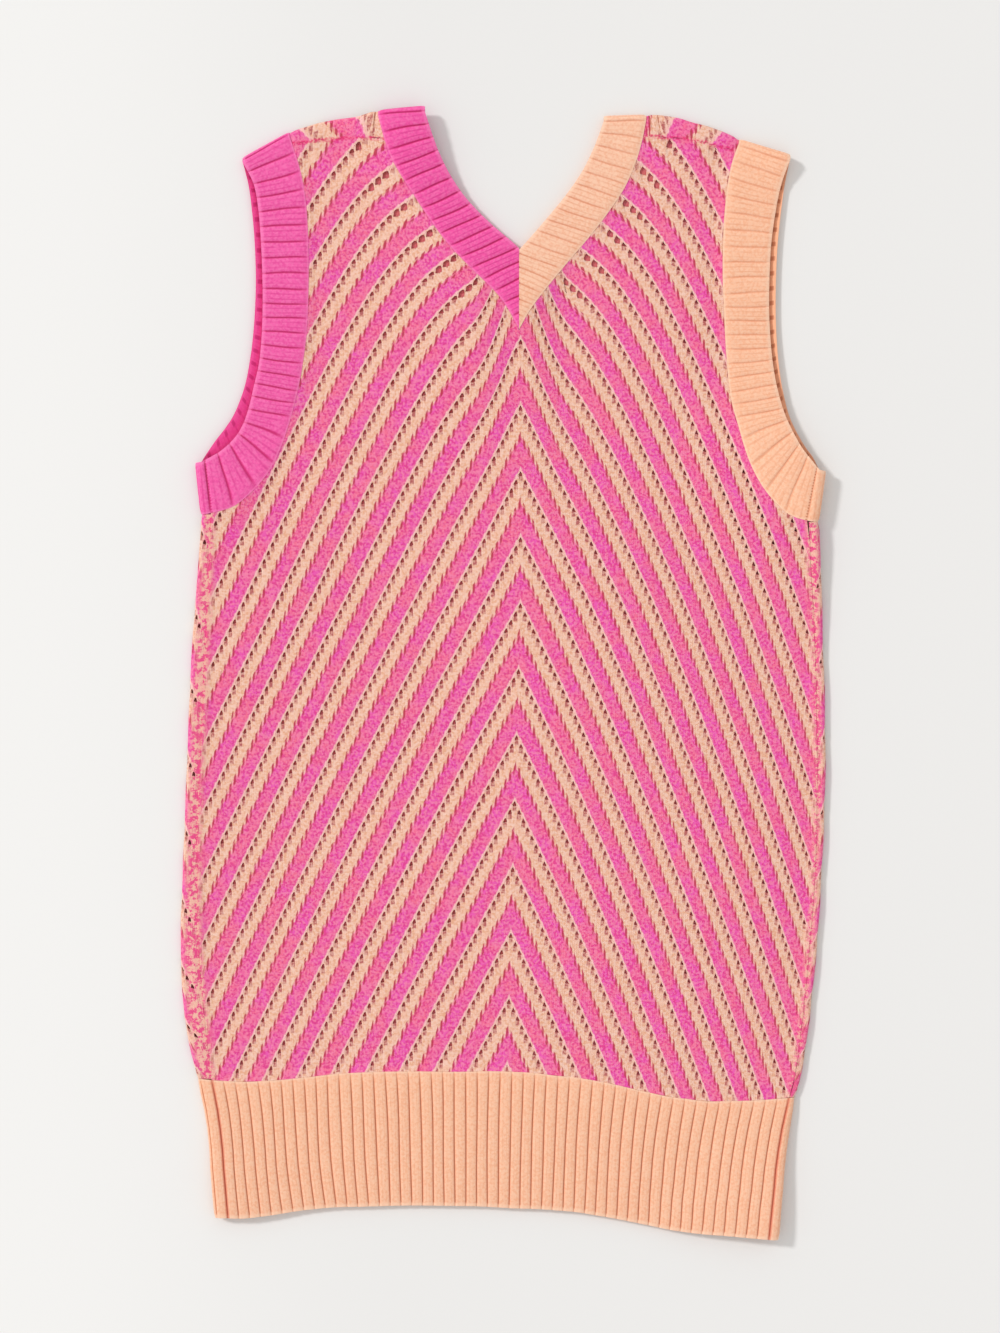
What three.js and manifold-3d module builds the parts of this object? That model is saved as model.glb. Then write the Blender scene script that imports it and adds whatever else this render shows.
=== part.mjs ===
// Knitted sweater vest, laid flat on its back: a women's long V-neck vest in chevron lace stripes.
// Millimetres. +X is the photo's right, +Y runs from the hem to the shoulders and +Z is up, off the floor.
// The origin is under the middle of the vest. Left and right are the photo's left and right.
import * as THREE from "three";
import { mergeVertices } from "three/addons/utils/BufferGeometryUtils.js";
import Module from "manifold-3d";

const wasm = await Module();
wasm.setup();

// Cloth and its layers
const WALL = 2.0; // one layer of the knit
const LAYER_GAP = 0.8; // air between the back layer and the front layer, where they lie on the floor
const LIFTED_AIR = 0.45; // more air between them for each millimetre that they rise off it
const HALF_SEAM = 0.15; // each piece stops this far from the seam line, so pieces are 0.3 apart
const FOLD_ANGLES = [-45, 0, 45]; // stations round a fold, between the bottom and the top layer

// Ribbing: broad ribs with a narrow groove between them
const RIB_HEIGHT = 0.9;
const RIB_SHOULDER = 0.16; // share of a rib's width in which it rises from the groove
const ARMHOLE_RIB = 10.2; // width of a rib
const NECK_RIB = 10.0;
const HEM_RIBS = 50; // ribs across the front of the hem

// Chevron stripes: each row of eyelets is a shallow groove in the front's outer face
const STRIPE_PERIOD = 42.8; // from tip to tip down the middle
const STRIPE_TIP = 218.1; // height of tip number 0
const STRIPES_ABOVE = 9; // rows above and below tip 0
const STRIPES_BELOW = 12;
const STRIPE_LEFT = { slope: 1.823, bend: 0.00048, spread: 0.000243 }; // fall to the side, its growth, and
const STRIPE_RIGHT = { slope: 1.851, bend: 0.00167, spread: 0.000228 }; // how the stripes draw apart there
const GROOVE_DEPTH = 0.5;
const GROOVE_HALF = 1.5;
const MIDDLE_X = 11.4; // the chevrons' middle line
const MIDDLE_LEAN = 0.029; // it leans to the left below LEAN_START
const LEAN_START = 49;
const HALF_WIDTH = 216; // the chevron slab reaches this far on each side
const HALF_COLUMNS = 8;

// Divisions
const SIDE_ROWS = 11; // back panel, from the hem to the underarm
const BACK_ROWS = 16; // back panel, from the underarm to the shoulder
const V_ROW = 8; // the row of those that is at the bottom of the V
const HALF_CELLS = 7; // back panel, from a side to the middle
const HEM_DOWN = 3;
const BAND_ACROSS = 2;
const MIDDLE_CELL = 0.5; // half the width of the narrow column that ends at the V
const V_POINT = { x: 10.4, y: 224 };

// Where a table gives a fold, it is the line where the flat cloth ends: the fold reaches 2.4 farther.
const SIDES = [
  // side folds and side seams, from the hem up; the back wraps over the folds to the seams
  { y: -276, leftFold: -193.0, leftSeam: -187.5, rightSeam: 185.0, rightFold: 186.4 },
  { y: -262, leftFold: -195.8, leftSeam: -189.0, rightSeam: 188.9, rightFold: 190.3 },
  { y: -237, leftFold: -201.6, leftSeam: -192.0, rightSeam: 192.3, rightFold: 194.6 },
  { y: -211, leftFold: -205.1, leftSeam: -194.5, rightSeam: 195.5, rightFold: 197.8 },
  { y: -172, leftFold: -206.6, leftSeam: -197.5, rightSeam: 199.0, rightFold: 201.6 },
  { y: -133, leftFold: -205.6, leftSeam: -198.0, rightSeam: 202.0, rightFold: 204.0 },
  { y: -81, leftFold: -203.6, leftSeam: -197.5, rightSeam: 203.6, rightFold: 206.4 },
  { y: -29, leftFold: -201.6, leftSeam: -195.0, rightSeam: 203.3, rightFold: 206.6 },
  { y: 23, leftFold: -199.1, leftSeam: -192.5, rightSeam: 202.0, rightFold: 205.1 },
  { y: 68, leftFold: -195.6, leftSeam: -190.5, rightSeam: 199.3, rightFold: 203.1 },
  { y: 106, leftFold: -192.9, leftSeam: -189.3, rightSeam: 197.6, rightFold: 200.6 },
];
const HEM_SIDES = [
  // the same down the hem, by the share of its depth
  { down: 0.0, leftFold: -195.6, leftSeam: -188.8, rightSeam: 185.5, rightFold: 186.9 },
  { down: 0.33, leftFold: -189.0, leftSeam: -183.5, rightSeam: 179.0, rightFold: 181.2 },
  { down: 0.66, leftFold: -186.3, leftSeam: -180.7, rightSeam: 175.3, rightFold: 177.7 },
  { down: 1.0, leftFold: -183.5, leftSeam: -178.0, rightSeam: 172.0, rightFold: 174.7 },
];
const HEM_LINES = [
  // the hem's seam with the panels, and its free edge
  { x: -198, seam: -261.5, edge: -349.5 },
  { x: -179, seam: -263.0, edge: -351.5 },
  { x: -156, seam: -263.0, edge: -350.5 },
  { x: -127, seam: -260.5, edge: -346.5 },
  { x: -93, seam: -257.5, edge: -344.5 },
  { x: -28, seam: -257.0, edge: -344.0 },
  { x: 6, seam: -257.0, edge: -345.5 },
  { x: 34, seam: -259.5, edge: -346.8 },
  { x: 60, seam: -262.8, edge: -350.0 },
  { x: 93, seam: -270.0, edge: -356.2 },
  { x: 117, seam: -274.3, edge: -360.5 },
  { x: 146, seam: -276.0, edge: -362.8 },
  { x: 191, seam: -273.5, edge: -366.5 },
];
const SHOULDER_LINES = [
  // the shoulder's fold, and its seam on the front just below
  { x: -140, fold: 349.6, seam: 344.3 },
  { x: -127, fold: 354.1, seam: 346.3 },
  { x: -112, fold: 357.7, seam: 347.6 },
  { x: -95, fold: 359.7, seam: 348.7 },
  { x: -78, fold: 363.0, seam: 347.7 },
  { x: 90, fold: 361.3, seam: 350.0 },
  { x: 108, fold: 360.6, seam: 348.6 },
  { x: 123, fold: 356.6, seam: 347.5 },
  { x: 139, fold: 352.1, seam: 343.4 },
  { x: 154, fold: 345.3, seam: 339.5 },
];

// A band's rib lines, from one end to the shoulder: its seam with the panels, then its free edge on the
// front and on the back, which shows beyond the front's.
const ARMHOLE_LEFT = [
  { seam: [-192.9, 104.5], free: [-196.1, 138.0], back: [-196.1, 138.0] },
  { seam: [-176.0, 109.0], free: [-183.0, 145.5], back: [-187.0, 151.5] },
  { seam: [-164.0, 118.0], free: [-174.0, 154.0], back: [-180.5, 160.0] },
  { seam: [-153.0, 130.5], free: [-168.5, 163.0], back: [-175.0, 168.5] },
  { seam: [-145.0, 145.5], free: [-164.5, 175.0], back: [-170.5, 179.0] },
  { seam: [-138.5, 164.0], free: [-161.5, 188.0], back: [-167.0, 190.0] },
  { seam: [-133.5, 183.0], free: [-158.5, 201.0], back: [-164.5, 203.0] },
  { seam: [-130.0, 201.0], free: [-157.0, 213.5], back: [-162.8, 215.0] },
  { seam: [-127.0, 226.0], free: [-156.0, 232.0], back: [-161.2, 233.0] },
  { seam: [-126.0, 257.0], free: [-156.0, 257.0], back: [-160.4, 257.0] },
  { seam: [-126.3, 283.0], free: [-157.0, 281.5], back: [-161.2, 281.5] },
  { seam: [-127.8, 307.0], free: [-158.7, 302.5], back: [-163.0, 302.5] },
  { seam: [-131.5, 328.0], free: [-161.8, 319.0], back: [-165.3, 319.0] },
  { seam: [-138.5, 350.1], free: [-169.0, 333.1], back: [-169.0, 333.1] },
];
const ARMHOLE_RIGHT = [
  { seam: [200.6, 99.5], free: [205.1, 132.5], back: [205.1, 132.5] },
  { seam: [188.5, 102.5], free: [199.0, 140.0], back: [201.0, 141.0] },
  { seam: [179.0, 109.0], free: [193.0, 148.0], back: [196.0, 148.0] },
  { seam: [167.5, 123.0], free: [186.5, 160.0], back: [190.3, 158.0] },
  { seam: [159.0, 140.0], free: [181.5, 172.0], back: [185.3, 169.5] },
  { seam: [152.0, 163.0], free: [177.5, 187.0], back: [181.3, 185.5] },
  { seam: [147.5, 180.5], free: [175.3, 199.5], back: [179.2, 198.5] },
  { seam: [145.0, 205.0], free: [173.7, 214.5], back: [177.8, 214.5] },
  { seam: [143.5, 231.0], free: [172.6, 235.0], back: [177.0, 235.0] },
  { seam: [142.5, 257.0], free: [172.8, 258.0], back: [177.2, 258.0] },
  { seam: [142.7, 283.0], free: [174.0, 280.5], back: [178.3, 280.5] },
  { seam: [144.5, 309.0], free: [177.0, 302.0], back: [180.5, 302.0] },
  { seam: [147.8, 330.0], free: [180.5, 318.5], back: [182.8, 318.5] },
  { seam: [153.0, 345.6], free: [186.0, 334.1], back: [186.0, 334.1] },
];
const NECK_LEFT = [
  { seam: [10.9, 223.4], free: [40.0, 238.0] },
  { seam: [2.5, 239.0], free: [32.0, 252.0] },
  { seam: [-6.5, 250.5], free: [22.5, 264.8] },
  { seam: [-21.5, 265.0], free: [8.9, 278.6] },
  { seam: [-36.5, 281.0], free: [-8.5, 293.6] },
  { seam: [-49.0, 298.0], free: [-23.6, 309.2] },
  { seam: [-58.5, 312.5], free: [-33.6, 323.4] },
  { seam: [-67.0, 325.5], free: [-40.4, 336.4] },
  { seam: [-74.5, 340.0], free: [-45.0, 348.0] },
  { seam: [-81.0, 362.6], free: [-50.5, 364.6] },
];
const NECK_RIGHT = [
  { seam: [9.9, 223.4], free: [-20.0, 236.0] },
  { seam: [17.5, 237.0], free: [-12.5, 249.5] },
  { seam: [28.0, 251.0], free: [-1.5, 263.5] },
  { seam: [42.0, 268.0], free: [12.6, 278.4] },
  { seam: [56.5, 285.0], free: [27.0, 294.8] },
  { seam: [69.5, 302.0], free: [40.8, 311.6] },
  { seam: [79.5, 317.5], free: [51.3, 326.9] },
  { seam: [86.5, 334.0], free: [58.6, 341.5] },
  { seam: [90.5, 348.0], free: [62.5, 351.5] },
  { seam: [93.0, 361.1], free: [65.5, 360.1] },
];
const ARMHOLE_LEAN = [
  // how far an armhole rib leans: its seam end is this much farther up the band than its free end
  { share: 0.014, ahead: 0 },
  { share: 0.05, ahead: 0.01 },
  { share: 0.09, ahead: 0.035 },
  { share: 0.13, ahead: 0.06 },
  { share: 0.17, ahead: 0.078 },
  { share: 0.21, ahead: 0.09 },
  { share: 0.25, ahead: 0.087 },
  { share: 0.31, ahead: 0.067 },
  { share: 0.375, ahead: 0.049 },
  { share: 0.45, ahead: 0.034 },
  { share: 0.54, ahead: 0.017 },
  { share: 0.65, ahead: 0 },
  { share: 1, ahead: 0 },
];
const UNDERARM_SEAM = 0.014; // share of an armhole band's length at which its two ends are sewn together
const SEAM_STEP = 0.002; // the front panel's corners stop this much short of where two seams meet
const V_SHARE = 0.04; // share of the neck seam's length at which the front panel leaves it for the V's point
const MITRE_X = 10.4; // the neckbands meet on a vertical line under the V

const LIFTS = [
  // where the cloth rises off the floor: a soft hump over each place
  { x: 214, y: 124, height: 4.6, reach: 115 },
  { x: 192, y: 345, height: 4.0, reach: 72 },
  { x: -48, y: 372, height: 5.0, reach: 75 },
  { x: 182, y: -372, height: 4.5, reach: 95 },
  { x: -190, y: -355, height: 2.2, reach: 75 },
  { x: -200, y: 135, height: 1.8, reach: 65 },
];

const radians = THREE.MathUtils.degToRad;
const lerp = THREE.MathUtils.lerp;

// Height of the underside above the floor
function lift(x, y) {
  return LIFTS.reduce((sum, hump) => {
    const share = Math.hypot(x - hump.x, y - hump.y) / hump.reach;
    return share < 1 ? sum + hump.height * (1 - share * share) ** 2 : sum;
  }, 0);
}

// The value of one column of a table at a place given in its key column, smoothly between the rows
function readTable(table, key, column, place) {
  const last = table.length - 1;
  const found = table.findIndex((row) => row[key] > place);
  const i = found < 0 ? last - 1 : Math.max(0, found - 1);
  const slope = (k) => {
    const a = table[Math.max(0, k - 1)];
    const b = table[Math.min(last, k + 1)];
    return (b[column] - a[column]) / (b[key] - a[key]);
  };
  const span = table[i + 1][key] - table[i][key];
  const t = THREE.MathUtils.clamp((place - table[i][key]) / span, 0, 1);
  const from = table[i][column] + slope(i) * span * t;
  const to = table[i + 1][column] - slope(i + 1) * span * (1 - t);
  return lerp(from, to, t * t * (3 - 2 * t));
}

const hemSeam = (x) => readTable(HEM_LINES, "x", "seam", x);
const hemEdge = (x) => readTable(HEM_LINES, "x", "edge", x);
const shoulderFold = (x) => readTable(SHOULDER_LINES, "x", "fold", x);
const shoulderSeam = (x) => readTable(SHOULDER_LINES, "x", "seam", x);

// One station of cloth: a point on the wall's outside and one on its inside. The turn is -90 degrees in the
// bottom layer and 90 in the top layer. Between them the station lies on a fold that faces (dx, dy).
function station(x, y, turn, dx = 0, dy = 0, rise = 0) {
  const out = Math.cos(radians(turn));
  const up = Math.sin(radians(turn));
  const height = lift(x, y);
  const hollow = (LAYER_GAP + LIFTED_AIR * height) / 2;
  const middle = height + WALL + hollow;
  const at = (radius) => [x + dx * radius * out, y + dy * radius * out, middle + radius * up];
  return { outer: at(WALL + hollow + rise), inner: at(hollow) };
}
const bottomLayer = (x, y) => station(x, y, -90);
const topLayer = (x, y, rise = 0) => station(x, y, 90, 0, 0, rise);

// A closed wall of cloth from a grid of stations. isCloth says which cells are there.
function clothGeometry(rows, isCloth = () => true) {
  const across = rows[0].length;
  const positions = rows.flatMap((row) => row.flatMap((s) => [...s.outer, ...s.inner]));
  const index = [];
  const outer = (i, j) => 2 * (j * across + i);
  const inner = (i, j) => outer(i, j) + 1;
  const present = (i, j) =>
    i >= 0 && j >= 0 && i < across - 1 && j < rows.length - 1 && isCloth(i, j);
  const quad = (a, b, c, d) => index.push(a, b, c, a, c, d);
  for (let j = 0; j < rows.length - 1; j++) {
    for (let i = 0; i < across - 1; i++) {
      if (!present(i, j)) continue;
      quad(outer(i, j), outer(i + 1, j), outer(i + 1, j + 1), outer(i, j + 1));
      quad(inner(i, j), inner(i, j + 1), inner(i + 1, j + 1), inner(i + 1, j));
      const edges = [
        [present(i, j - 1), i, j, i + 1, j],
        [present(i + 1, j), i + 1, j, i + 1, j + 1],
        [present(i, j + 1), i + 1, j + 1, i, j + 1],
        [present(i - 1, j), i, j + 1, i, j],
      ];
      for (const [covered, ai, aj, bi, bj] of edges) {
        if (!covered) quad(outer(bi, bj), outer(ai, aj), inner(ai, aj), inner(bi, bj));
      }
    }
  }
  const geometry = new THREE.BufferGeometry();
  geometry.setAttribute("position", new THREE.Float32BufferAttribute(positions, 3));
  geometry.setIndex(facingOut(positions, index));
  return geometry;
}

// The triangles, turned round if they enclose a negative volume
function facingOut(positions, index) {
  const corner = (n) => new THREE.Vector3().fromArray(positions, 3 * n);
  let volume = 0;
  for (let t = 0; t < index.length; t += 3) {
    volume += corner(index[t]).dot(corner(index[t + 1]).cross(corner(index[t + 2])));
  }
  return volume < 0 ? index.toReversed() : index;
}

function solidOf(geometry) {
  const bare = geometry.clone().deleteAttribute("normal").deleteAttribute("uv");
  const merged = mergeVertices(bare, 1e-4);
  return new wasm.Manifold(
    new wasm.Mesh({
      numProp: 3,
      vertProperties: merged.attributes.position.array,
      triVerts: new Uint32Array(merged.index.array),
    }),
  );
}

function cut(geometry, keeper) {
  const { vertProperties, triVerts } = solidOf(geometry).intersect(solidOf(keeper)).getMesh();
  const result = new THREE.BufferGeometry();
  result.setAttribute("position", new THREE.BufferAttribute(vertProperties, 3));
  result.setIndex(new THREE.BufferAttribute(triVerts, 1));
  return result;
}

// A ribbed band's edges, read by the share of its length. The seam edges of the band and of its panel are
// moved apart along the ribs, so that the two keep the seam gap.
function bandEdges(table) {
  const curve = (pick) => new THREE.SplineCurve(table.map((row) => new THREE.Vector2(...pick(row))));
  const seam = curve((row) => row.seam);
  const free = curve((row) => row.free);
  const back = curve((row) => row.back ?? row.free);
  const middle = curve(({ seam: s, free: f }) => [(s[0] + f[0]) / 2, (s[1] + f[1]) / 2]);
  const place = (share) => middle.getUtoTmapping(share);
  const seamShifted = (share, distance) => {
    const s = seam.getPoint(place(share));
    return s.clone().add(free.getPoint(place(share)).sub(s).setLength(distance));
  };
  return {
    length: middle.getLength(),
    onBand: (share) => seamShifted(share, HALF_SEAM),
    onPanel: (share) => seamShifted(share, -HALF_SEAM),
    freeFront: (share) => free.getPoint(place(share)),
    freeBack: (share) => back.getPoint(place(share)),
  };
}

const armholeLeft = bandEdges(ARMHOLE_LEFT);
const armholeRight = bandEdges(ARMHOLE_RIGHT);
const neckLeft = bandEdges(NECK_LEFT);
const neckRight = bandEdges(NECK_RIGHT);

// One row of stations across a band, from its seam edge to its free edge
function bandRow(seamPoint, freePoint, makeStation) {
  return Array.from({ length: BAND_ACROSS + 1 }, (_, i) => {
    const p = seamPoint.clone().lerp(freePoint, i / BAND_ACROSS);
    return makeStation(p.x, p.y);
  });
}

// The shares and rises of the rows that make raised ribs between two shares of a band's length
function ribRows(from, to, ribs) {
  const rows = [];
  for (let rib = 0; rib < ribs; rib++) {
    for (const [part, rise] of [[0, 0], [RIB_SHOULDER, RIB_HEIGHT], [1 - RIB_SHOULDER, RIB_HEIGHT]]) {
      rows.push({ share: lerp(from, to, (rib + part) / ribs), rise });
    }
  }
  return [...rows, { share: to, rise: 0 }];
}

// A band as a strip: up the front with raised ribs, over the shoulder fold and down the back, plain where
// it rests. Each row of the back is one that the back panel has too.
function bandStrip(edges, { start, ribWidth, backRows, lean }) {
  const ribs = Math.round((edges.length * (1 - start)) / ribWidth);
  const front = ribRows(start, 1, ribs).map(({ share, rise }) =>
    bandRow(edges.onBand(share + lean(share)), edges.freeFront(share), (x, y) => topLayer(x, y, rise)),
  );
  const fold = FOLD_ANGLES.toReversed().map((turn) =>
    bandRow(edges.onBand(1), edges.freeFront(1), (x, y) => station(x, y, turn, 0, 1)),
  );
  const back = Array.from({ length: backRows + 1 }, (_, k) => {
    const share = 1 - k / backRows;
    return bandRow(edges.onBand(share), edges.freeBack(share), bottomLayer);
  });
  return [...front, ...fold, ...back];
}

// An armhole band goes on round the underarm fold, back on to the front, to the seam at its own start.
function armholeBand(edges, side) {
  const underarm = FOLD_ANGLES.map((turn) =>
    bandRow(edges.onBand(0), edges.freeFront(0), (x, y) => station(x, y, turn, side, 0)),
  );
  const seamGap = (2 * HALF_SEAM) / edges.length;
  const lastShares = [0, UNDERARM_SEAM - 2 * seamGap];
  const end = lastShares.map((share) => bandRow(edges.onBand(share), edges.freeFront(share), topLayer));
  const strip = bandStrip(edges, {
    start: UNDERARM_SEAM,
    ribWidth: ARMHOLE_RIB,
    backRows: BACK_ROWS,
    lean: (share) => readTable(ARMHOLE_LEAN, "share", "ahead", share),
  });
  return clothGeometry([...strip, ...underarm, ...end]);
}

// A neckband is cut off on the mitre line, on the front and on the back.
function neckband(edges, side) {
  const upright = () => 0;
  const backRows = BACK_ROWS - V_ROW;
  const strip = clothGeometry(bandStrip(edges, { start: 0, ribWidth: NECK_RIB, backRows, lean: upright }));
  const size = 400;
  const keeper = new THREE.BoxGeometry(size, 2 * size, size);
  keeper.translate(MITRE_X + side * (HALF_SEAM + size / 2), V_POINT.y, 0);
  return cut(strip, keeper);
}

// Stations of a row of the back: the front flap and fold at each side, and the bottom layer between them.
// left and right are the folds' places, flapLeft and flapRight the seams', and high(x) gives a station's y.
function wrappedRow({ left, right, flapLeft, flapRight, middle }, high, flapRise = 0) {
  const fold = (x, side, turns) => turns.map((turn) => station(x, high(x), turn, side, 0));
  return [
    topLayer(flapLeft - HALF_SEAM, high(flapLeft), flapRise),
    topLayer(left, high(left), flapRise),
    ...fold(left, -1, FOLD_ANGLES.toReversed()),
    ...bottomHalf(left, middle - MIDDLE_CELL, high),
    ...bottomHalf(middle + MIDDLE_CELL, right, high),
    ...fold(right, 1, FOLD_ANGLES),
    topLayer(right, high(right), flapRise),
    topLayer(flapRight + HALF_SEAM, high(flapRight), flapRise),
  ];
}

function bottomHalf(fromX, toX, high) {
  return Array.from({ length: HALF_CELLS + 1 }, (_, i) => {
    const x = lerp(fromX, toX, i / HALF_CELLS);
    return bottomLayer(x, high(x));
  });
}

const middleX = (y) => MIDDLE_X + MIDDLE_LEAN * Math.min(0, y - LEAN_START);

// Row j between the hem and the underarm: the places of its folds and seams, and the height of its line
function sideRow(j) {
  const share = j / SIDE_ROWS;
  const left = armholeLeft.onPanel(0);
  const right = armholeRight.onPanel(0);
  const high = (x) => {
    const across = THREE.MathUtils.clamp((x - left.x) / (right.x - left.x), 0, 1);
    return lerp(hemSeam(x) + HALF_SEAM, lerp(left.y, right.y, across), share);
  };
  const level = (column, near) => readTable(SIDES, "y", column, high(near.x));
  const places = {
    left: level("leftFold", left),
    right: level("rightFold", right),
    flapLeft: level("leftSeam", left),
    flapRight: level("rightSeam", right),
    middle: middleX(high(MIDDLE_X)),
  };
  return { places, high };
}

function backPanel() {
  const rows = [];
  for (let j = 0; j <= SIDE_ROWS; j++) {
    const { places, high } = sideRow(j);
    rows.push(wrappedRow(places, high));
  }
  const flapCells = FOLD_ANGLES.length + 2;
  const bottomCells = 2 * HALF_CELLS + 1;
  const middleCell = flapCells + HALF_CELLS;
  for (let k = 1; k <= BACK_ROWS; k++) {
    rows.push(widen(backRow(k, k === BACK_ROWS ? shoulderFold : null, bottomLayer), flapCells));
  }
  for (const turn of FOLD_ANGLES) {
    const over = (x, y) => station(x, y, turn, 0, 1);
    rows.push(widen(backRow(BACK_ROWS, shoulderFold, over), flapCells));
  }
  rows.push(widen(backRow(BACK_ROWS, shoulderFold, topLayer), flapCells));
  rows.push(widen(shoulderFlapRow(0.5), flapCells));
  rows.push(widen(shoulderFlapRow(1), flapCells));
  const isCloth = (i, j) => {
    const onFlap = i < flapCells || i >= flapCells + bottomCells;
    if (onFlap) return j < SIDE_ROWS;
    return i !== middleCell || j < SIDE_ROWS + V_ROW;
  };
  return clothGeometry(rows, isCloth);
}

// A row without side flaps gets stations in their place, which no cell uses.
function widen(row, flapCells) {
  const first = Array(flapCells).fill(row[0]);
  const last = Array(flapCells).fill(row.at(-1));
  return [...first, ...row, ...last];
}

// Row k of the back between the underarm and the shoulder, each half from its armhole seam to the middle,
// or to the neck seam above the V
function backRow(k, lineAt, makeStation) {
  const share = k / BACK_ROWS;
  const neckShare = (k - V_ROW) / (BACK_ROWS - V_ROW);
  const left = armholeLeft.onPanel(share);
  const right = armholeRight.onPanel(share);
  const level = (left.y + right.y) / 2;
  const mid = new THREE.Vector2(middleX(level), Math.min(level, V_POINT.y - MIDDLE_CELL));
  const inLeft = neckShare > 0 ? neckLeft.onPanel(neckShare) : mid.clone();
  const inRight = neckShare > 0 ? neckRight.onPanel(neckShare) : mid.clone();
  if (neckShare <= 0) {
    inLeft.x -= MIDDLE_CELL;
    inRight.x += MIDDLE_CELL;
  }
  return [...lineRow(left, inLeft, lineAt, makeStation), ...lineRow(inRight, right, lineAt, makeStation)];
}

// Stations from one point to another, straight or on a line y = lineAt(x) bowed between the two points
function lineRow(from, to, lineAt, makeStation) {
  return Array.from({ length: HALF_CELLS + 1 }, (_, i) => {
    const share = i / HALF_CELLS;
    const p = from.clone().lerp(to, share);
    const bow = lineAt
      ? lineAt(p.x) - lerp(lineAt(from.x), lineAt(to.x), share)
      : 0;
    return makeStation(p.x, p.y + bow);
  });
}

// The share of a band's length at which the shoulder seam meets its seam edge on the front
function shoulderShare(edges) {
  let low = 0.8;
  let high = 1;
  for (let step = 0; step < 30; step++) {
    const middle = (low + high) / 2;
    const p = edges.onPanel(middle);
    if (p.y < shoulderSeam(p.x)) low = middle;
    else high = middle;
  }
  return low;
}

// A row of the back's flap over the shoulder: down is 0 at the fold and 1 at the shoulder seam.
function shoulderFlapRow(down) {
  const lineAt = (x) => lerp(shoulderFold(x), shoulderSeam(x) + HALF_SEAM, down);
  const end = (edges) => {
    const p = edges.onPanel(lerp(1, shoulderShare(edges), down));
    return new THREE.Vector2(p.x, down < 1 ? p.y : lineAt(p.x));
  };
  const left = lineRow(end(armholeLeft), end(neckLeft), lineAt, topLayer);
  const right = lineRow(end(neckRight), end(armholeRight), lineAt, topLayer);
  return [...left, ...right];
}

// A chevron slab in the front layer, with a groove along each row of eyelets. Its rows follow the stripes.
function chevronSlab() {
  const grooveShare = GROOVE_HALF / STRIPE_PERIOD;
  const rows = [];
  for (let stripe = -STRIPES_ABOVE; stripe <= STRIPES_BELOW; stripe++) {
    for (const [part, rise] of [[-grooveShare, 0], [0, -GROOVE_DEPTH], [grooveShare, 0]]) {
      const row = [];
      for (let i = -HALF_COLUMNS; i <= HALF_COLUMNS; i++) {
        const away = (Math.abs(i) / HALF_COLUMNS) * HALF_WIDTH;
        const { slope, bend, spread } = i < 0 ? STRIPE_LEFT : STRIPE_RIGHT;
        const tip = STRIPE_TIP - STRIPE_PERIOD * (stripe + part);
        const y = (tip - slope * away - bend * away * away) / (1 - spread * away);
        row.push(topLayer(middleX(y) + Math.sign(i) * away, y, rise));
      }
      rows.push(row);
    }
  }
  return clothGeometry(rows);
}

// The front panel is the chevron slab within the front's cut.
function frontPanel() {
  const steps = (count, from, to) =>
    Array.from({ length: count + 1 }, (_, i) => lerp(from, to, i / count));
  const sideRows = steps(SIDE_ROWS - 1, 0, SIDE_ROWS - 1).map(sideRow);
  const leftSide = sideRows.map(({ places, high }) => [places.flapLeft + HALF_SEAM, high(places.flapLeft)]);
  const rightSide = sideRows.map(({ places, high }) => [places.flapRight - HALF_SEAM, high(places.flapRight)]);
  const shoulder = (x) => new THREE.Vector2(x, shoulderSeam(x) - HALF_SEAM);
  const half = (arm, neck) => {
    const armShare = shoulderShare(arm) - SEAM_STEP;
    const neckShare = shoulderShare(neck) - SEAM_STEP;
    return [
      ...steps(36, UNDERARM_SEAM + SEAM_STEP, armShare).map(arm.onPanel),
      ...steps(6, arm.onPanel(armShare).x, neck.onPanel(neckShare).x).map(shoulder),
      ...steps(22, neckShare, V_SHARE).map(neck.onPanel),
    ];
  };
  const outline = [
    ...leftSide.map(([x, y]) => new THREE.Vector2(x, y)),
    ...half(armholeLeft, neckLeft),
    new THREE.Vector2(V_POINT.x, V_POINT.y - HALF_SEAM),
    ...half(armholeRight, neckRight).toReversed(),
    ...rightSide.toReversed().map(([x, y]) => new THREE.Vector2(x, y)),
    ...steps(30, rightSide[0][0], leftSide[0][0]).slice(1, -1)
      .map((x) => new THREE.Vector2(x, hemSeam(x) + HALF_SEAM)),
  ];
  const tall = 60;
  const prism = new THREE.ExtrudeGeometry(new THREE.Shape(outline), { depth: tall, bevelEnabled: false });
  prism.translate(0, 0, -tall / 2);
  return cut(chevronSlab(), prism);
}

function hemPlaces(down) {
  const at = (column) => readTable(HEM_SIDES, "down", column, down);
  return {
    left: at("leftFold"),
    right: at("rightFold"),
    flapLeft: at("leftSeam"),
    flapRight: at("rightSeam"),
    middle: middleX(hemSeam(0)),
  };
}
const hemHeight = (down) => (x) => lerp(hemSeam(x) - HALF_SEAM, hemEdge(x), down);

function hemFront() {
  const rows = [];
  for (let j = 0; j <= HEM_DOWN; j++) {
    const down = j / HEM_DOWN;
    const { flapLeft, flapRight } = hemPlaces(down);
    const row = ribRows(flapLeft + HALF_SEAM, flapRight - HALF_SEAM, HEM_RIBS).map(({ share: x, rise }) =>
      topLayer(x, hemHeight(down)(x), rise),
    );
    rows.push(row);
  }
  return clothGeometry(rows);
}

function hemBack() {
  const rows = [];
  for (let j = 0; j <= HEM_DOWN; j++) {
    const down = j / HEM_DOWN;
    rows.push(wrappedRow(hemPlaces(down), hemHeight(down), RIB_HEIGHT));
  }
  return clothGeometry(rows);
}

const stripedKnit = { color: 0xea7a9f, roughness: 0.95, metalness: 0 };
const pinkRib = { color: 0xee6aa9, roughness: 0.95, metalness: 0 };
const orangeRib = { color: 0xf6bb99, roughness: 0.95, metalness: 0 };

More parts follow.
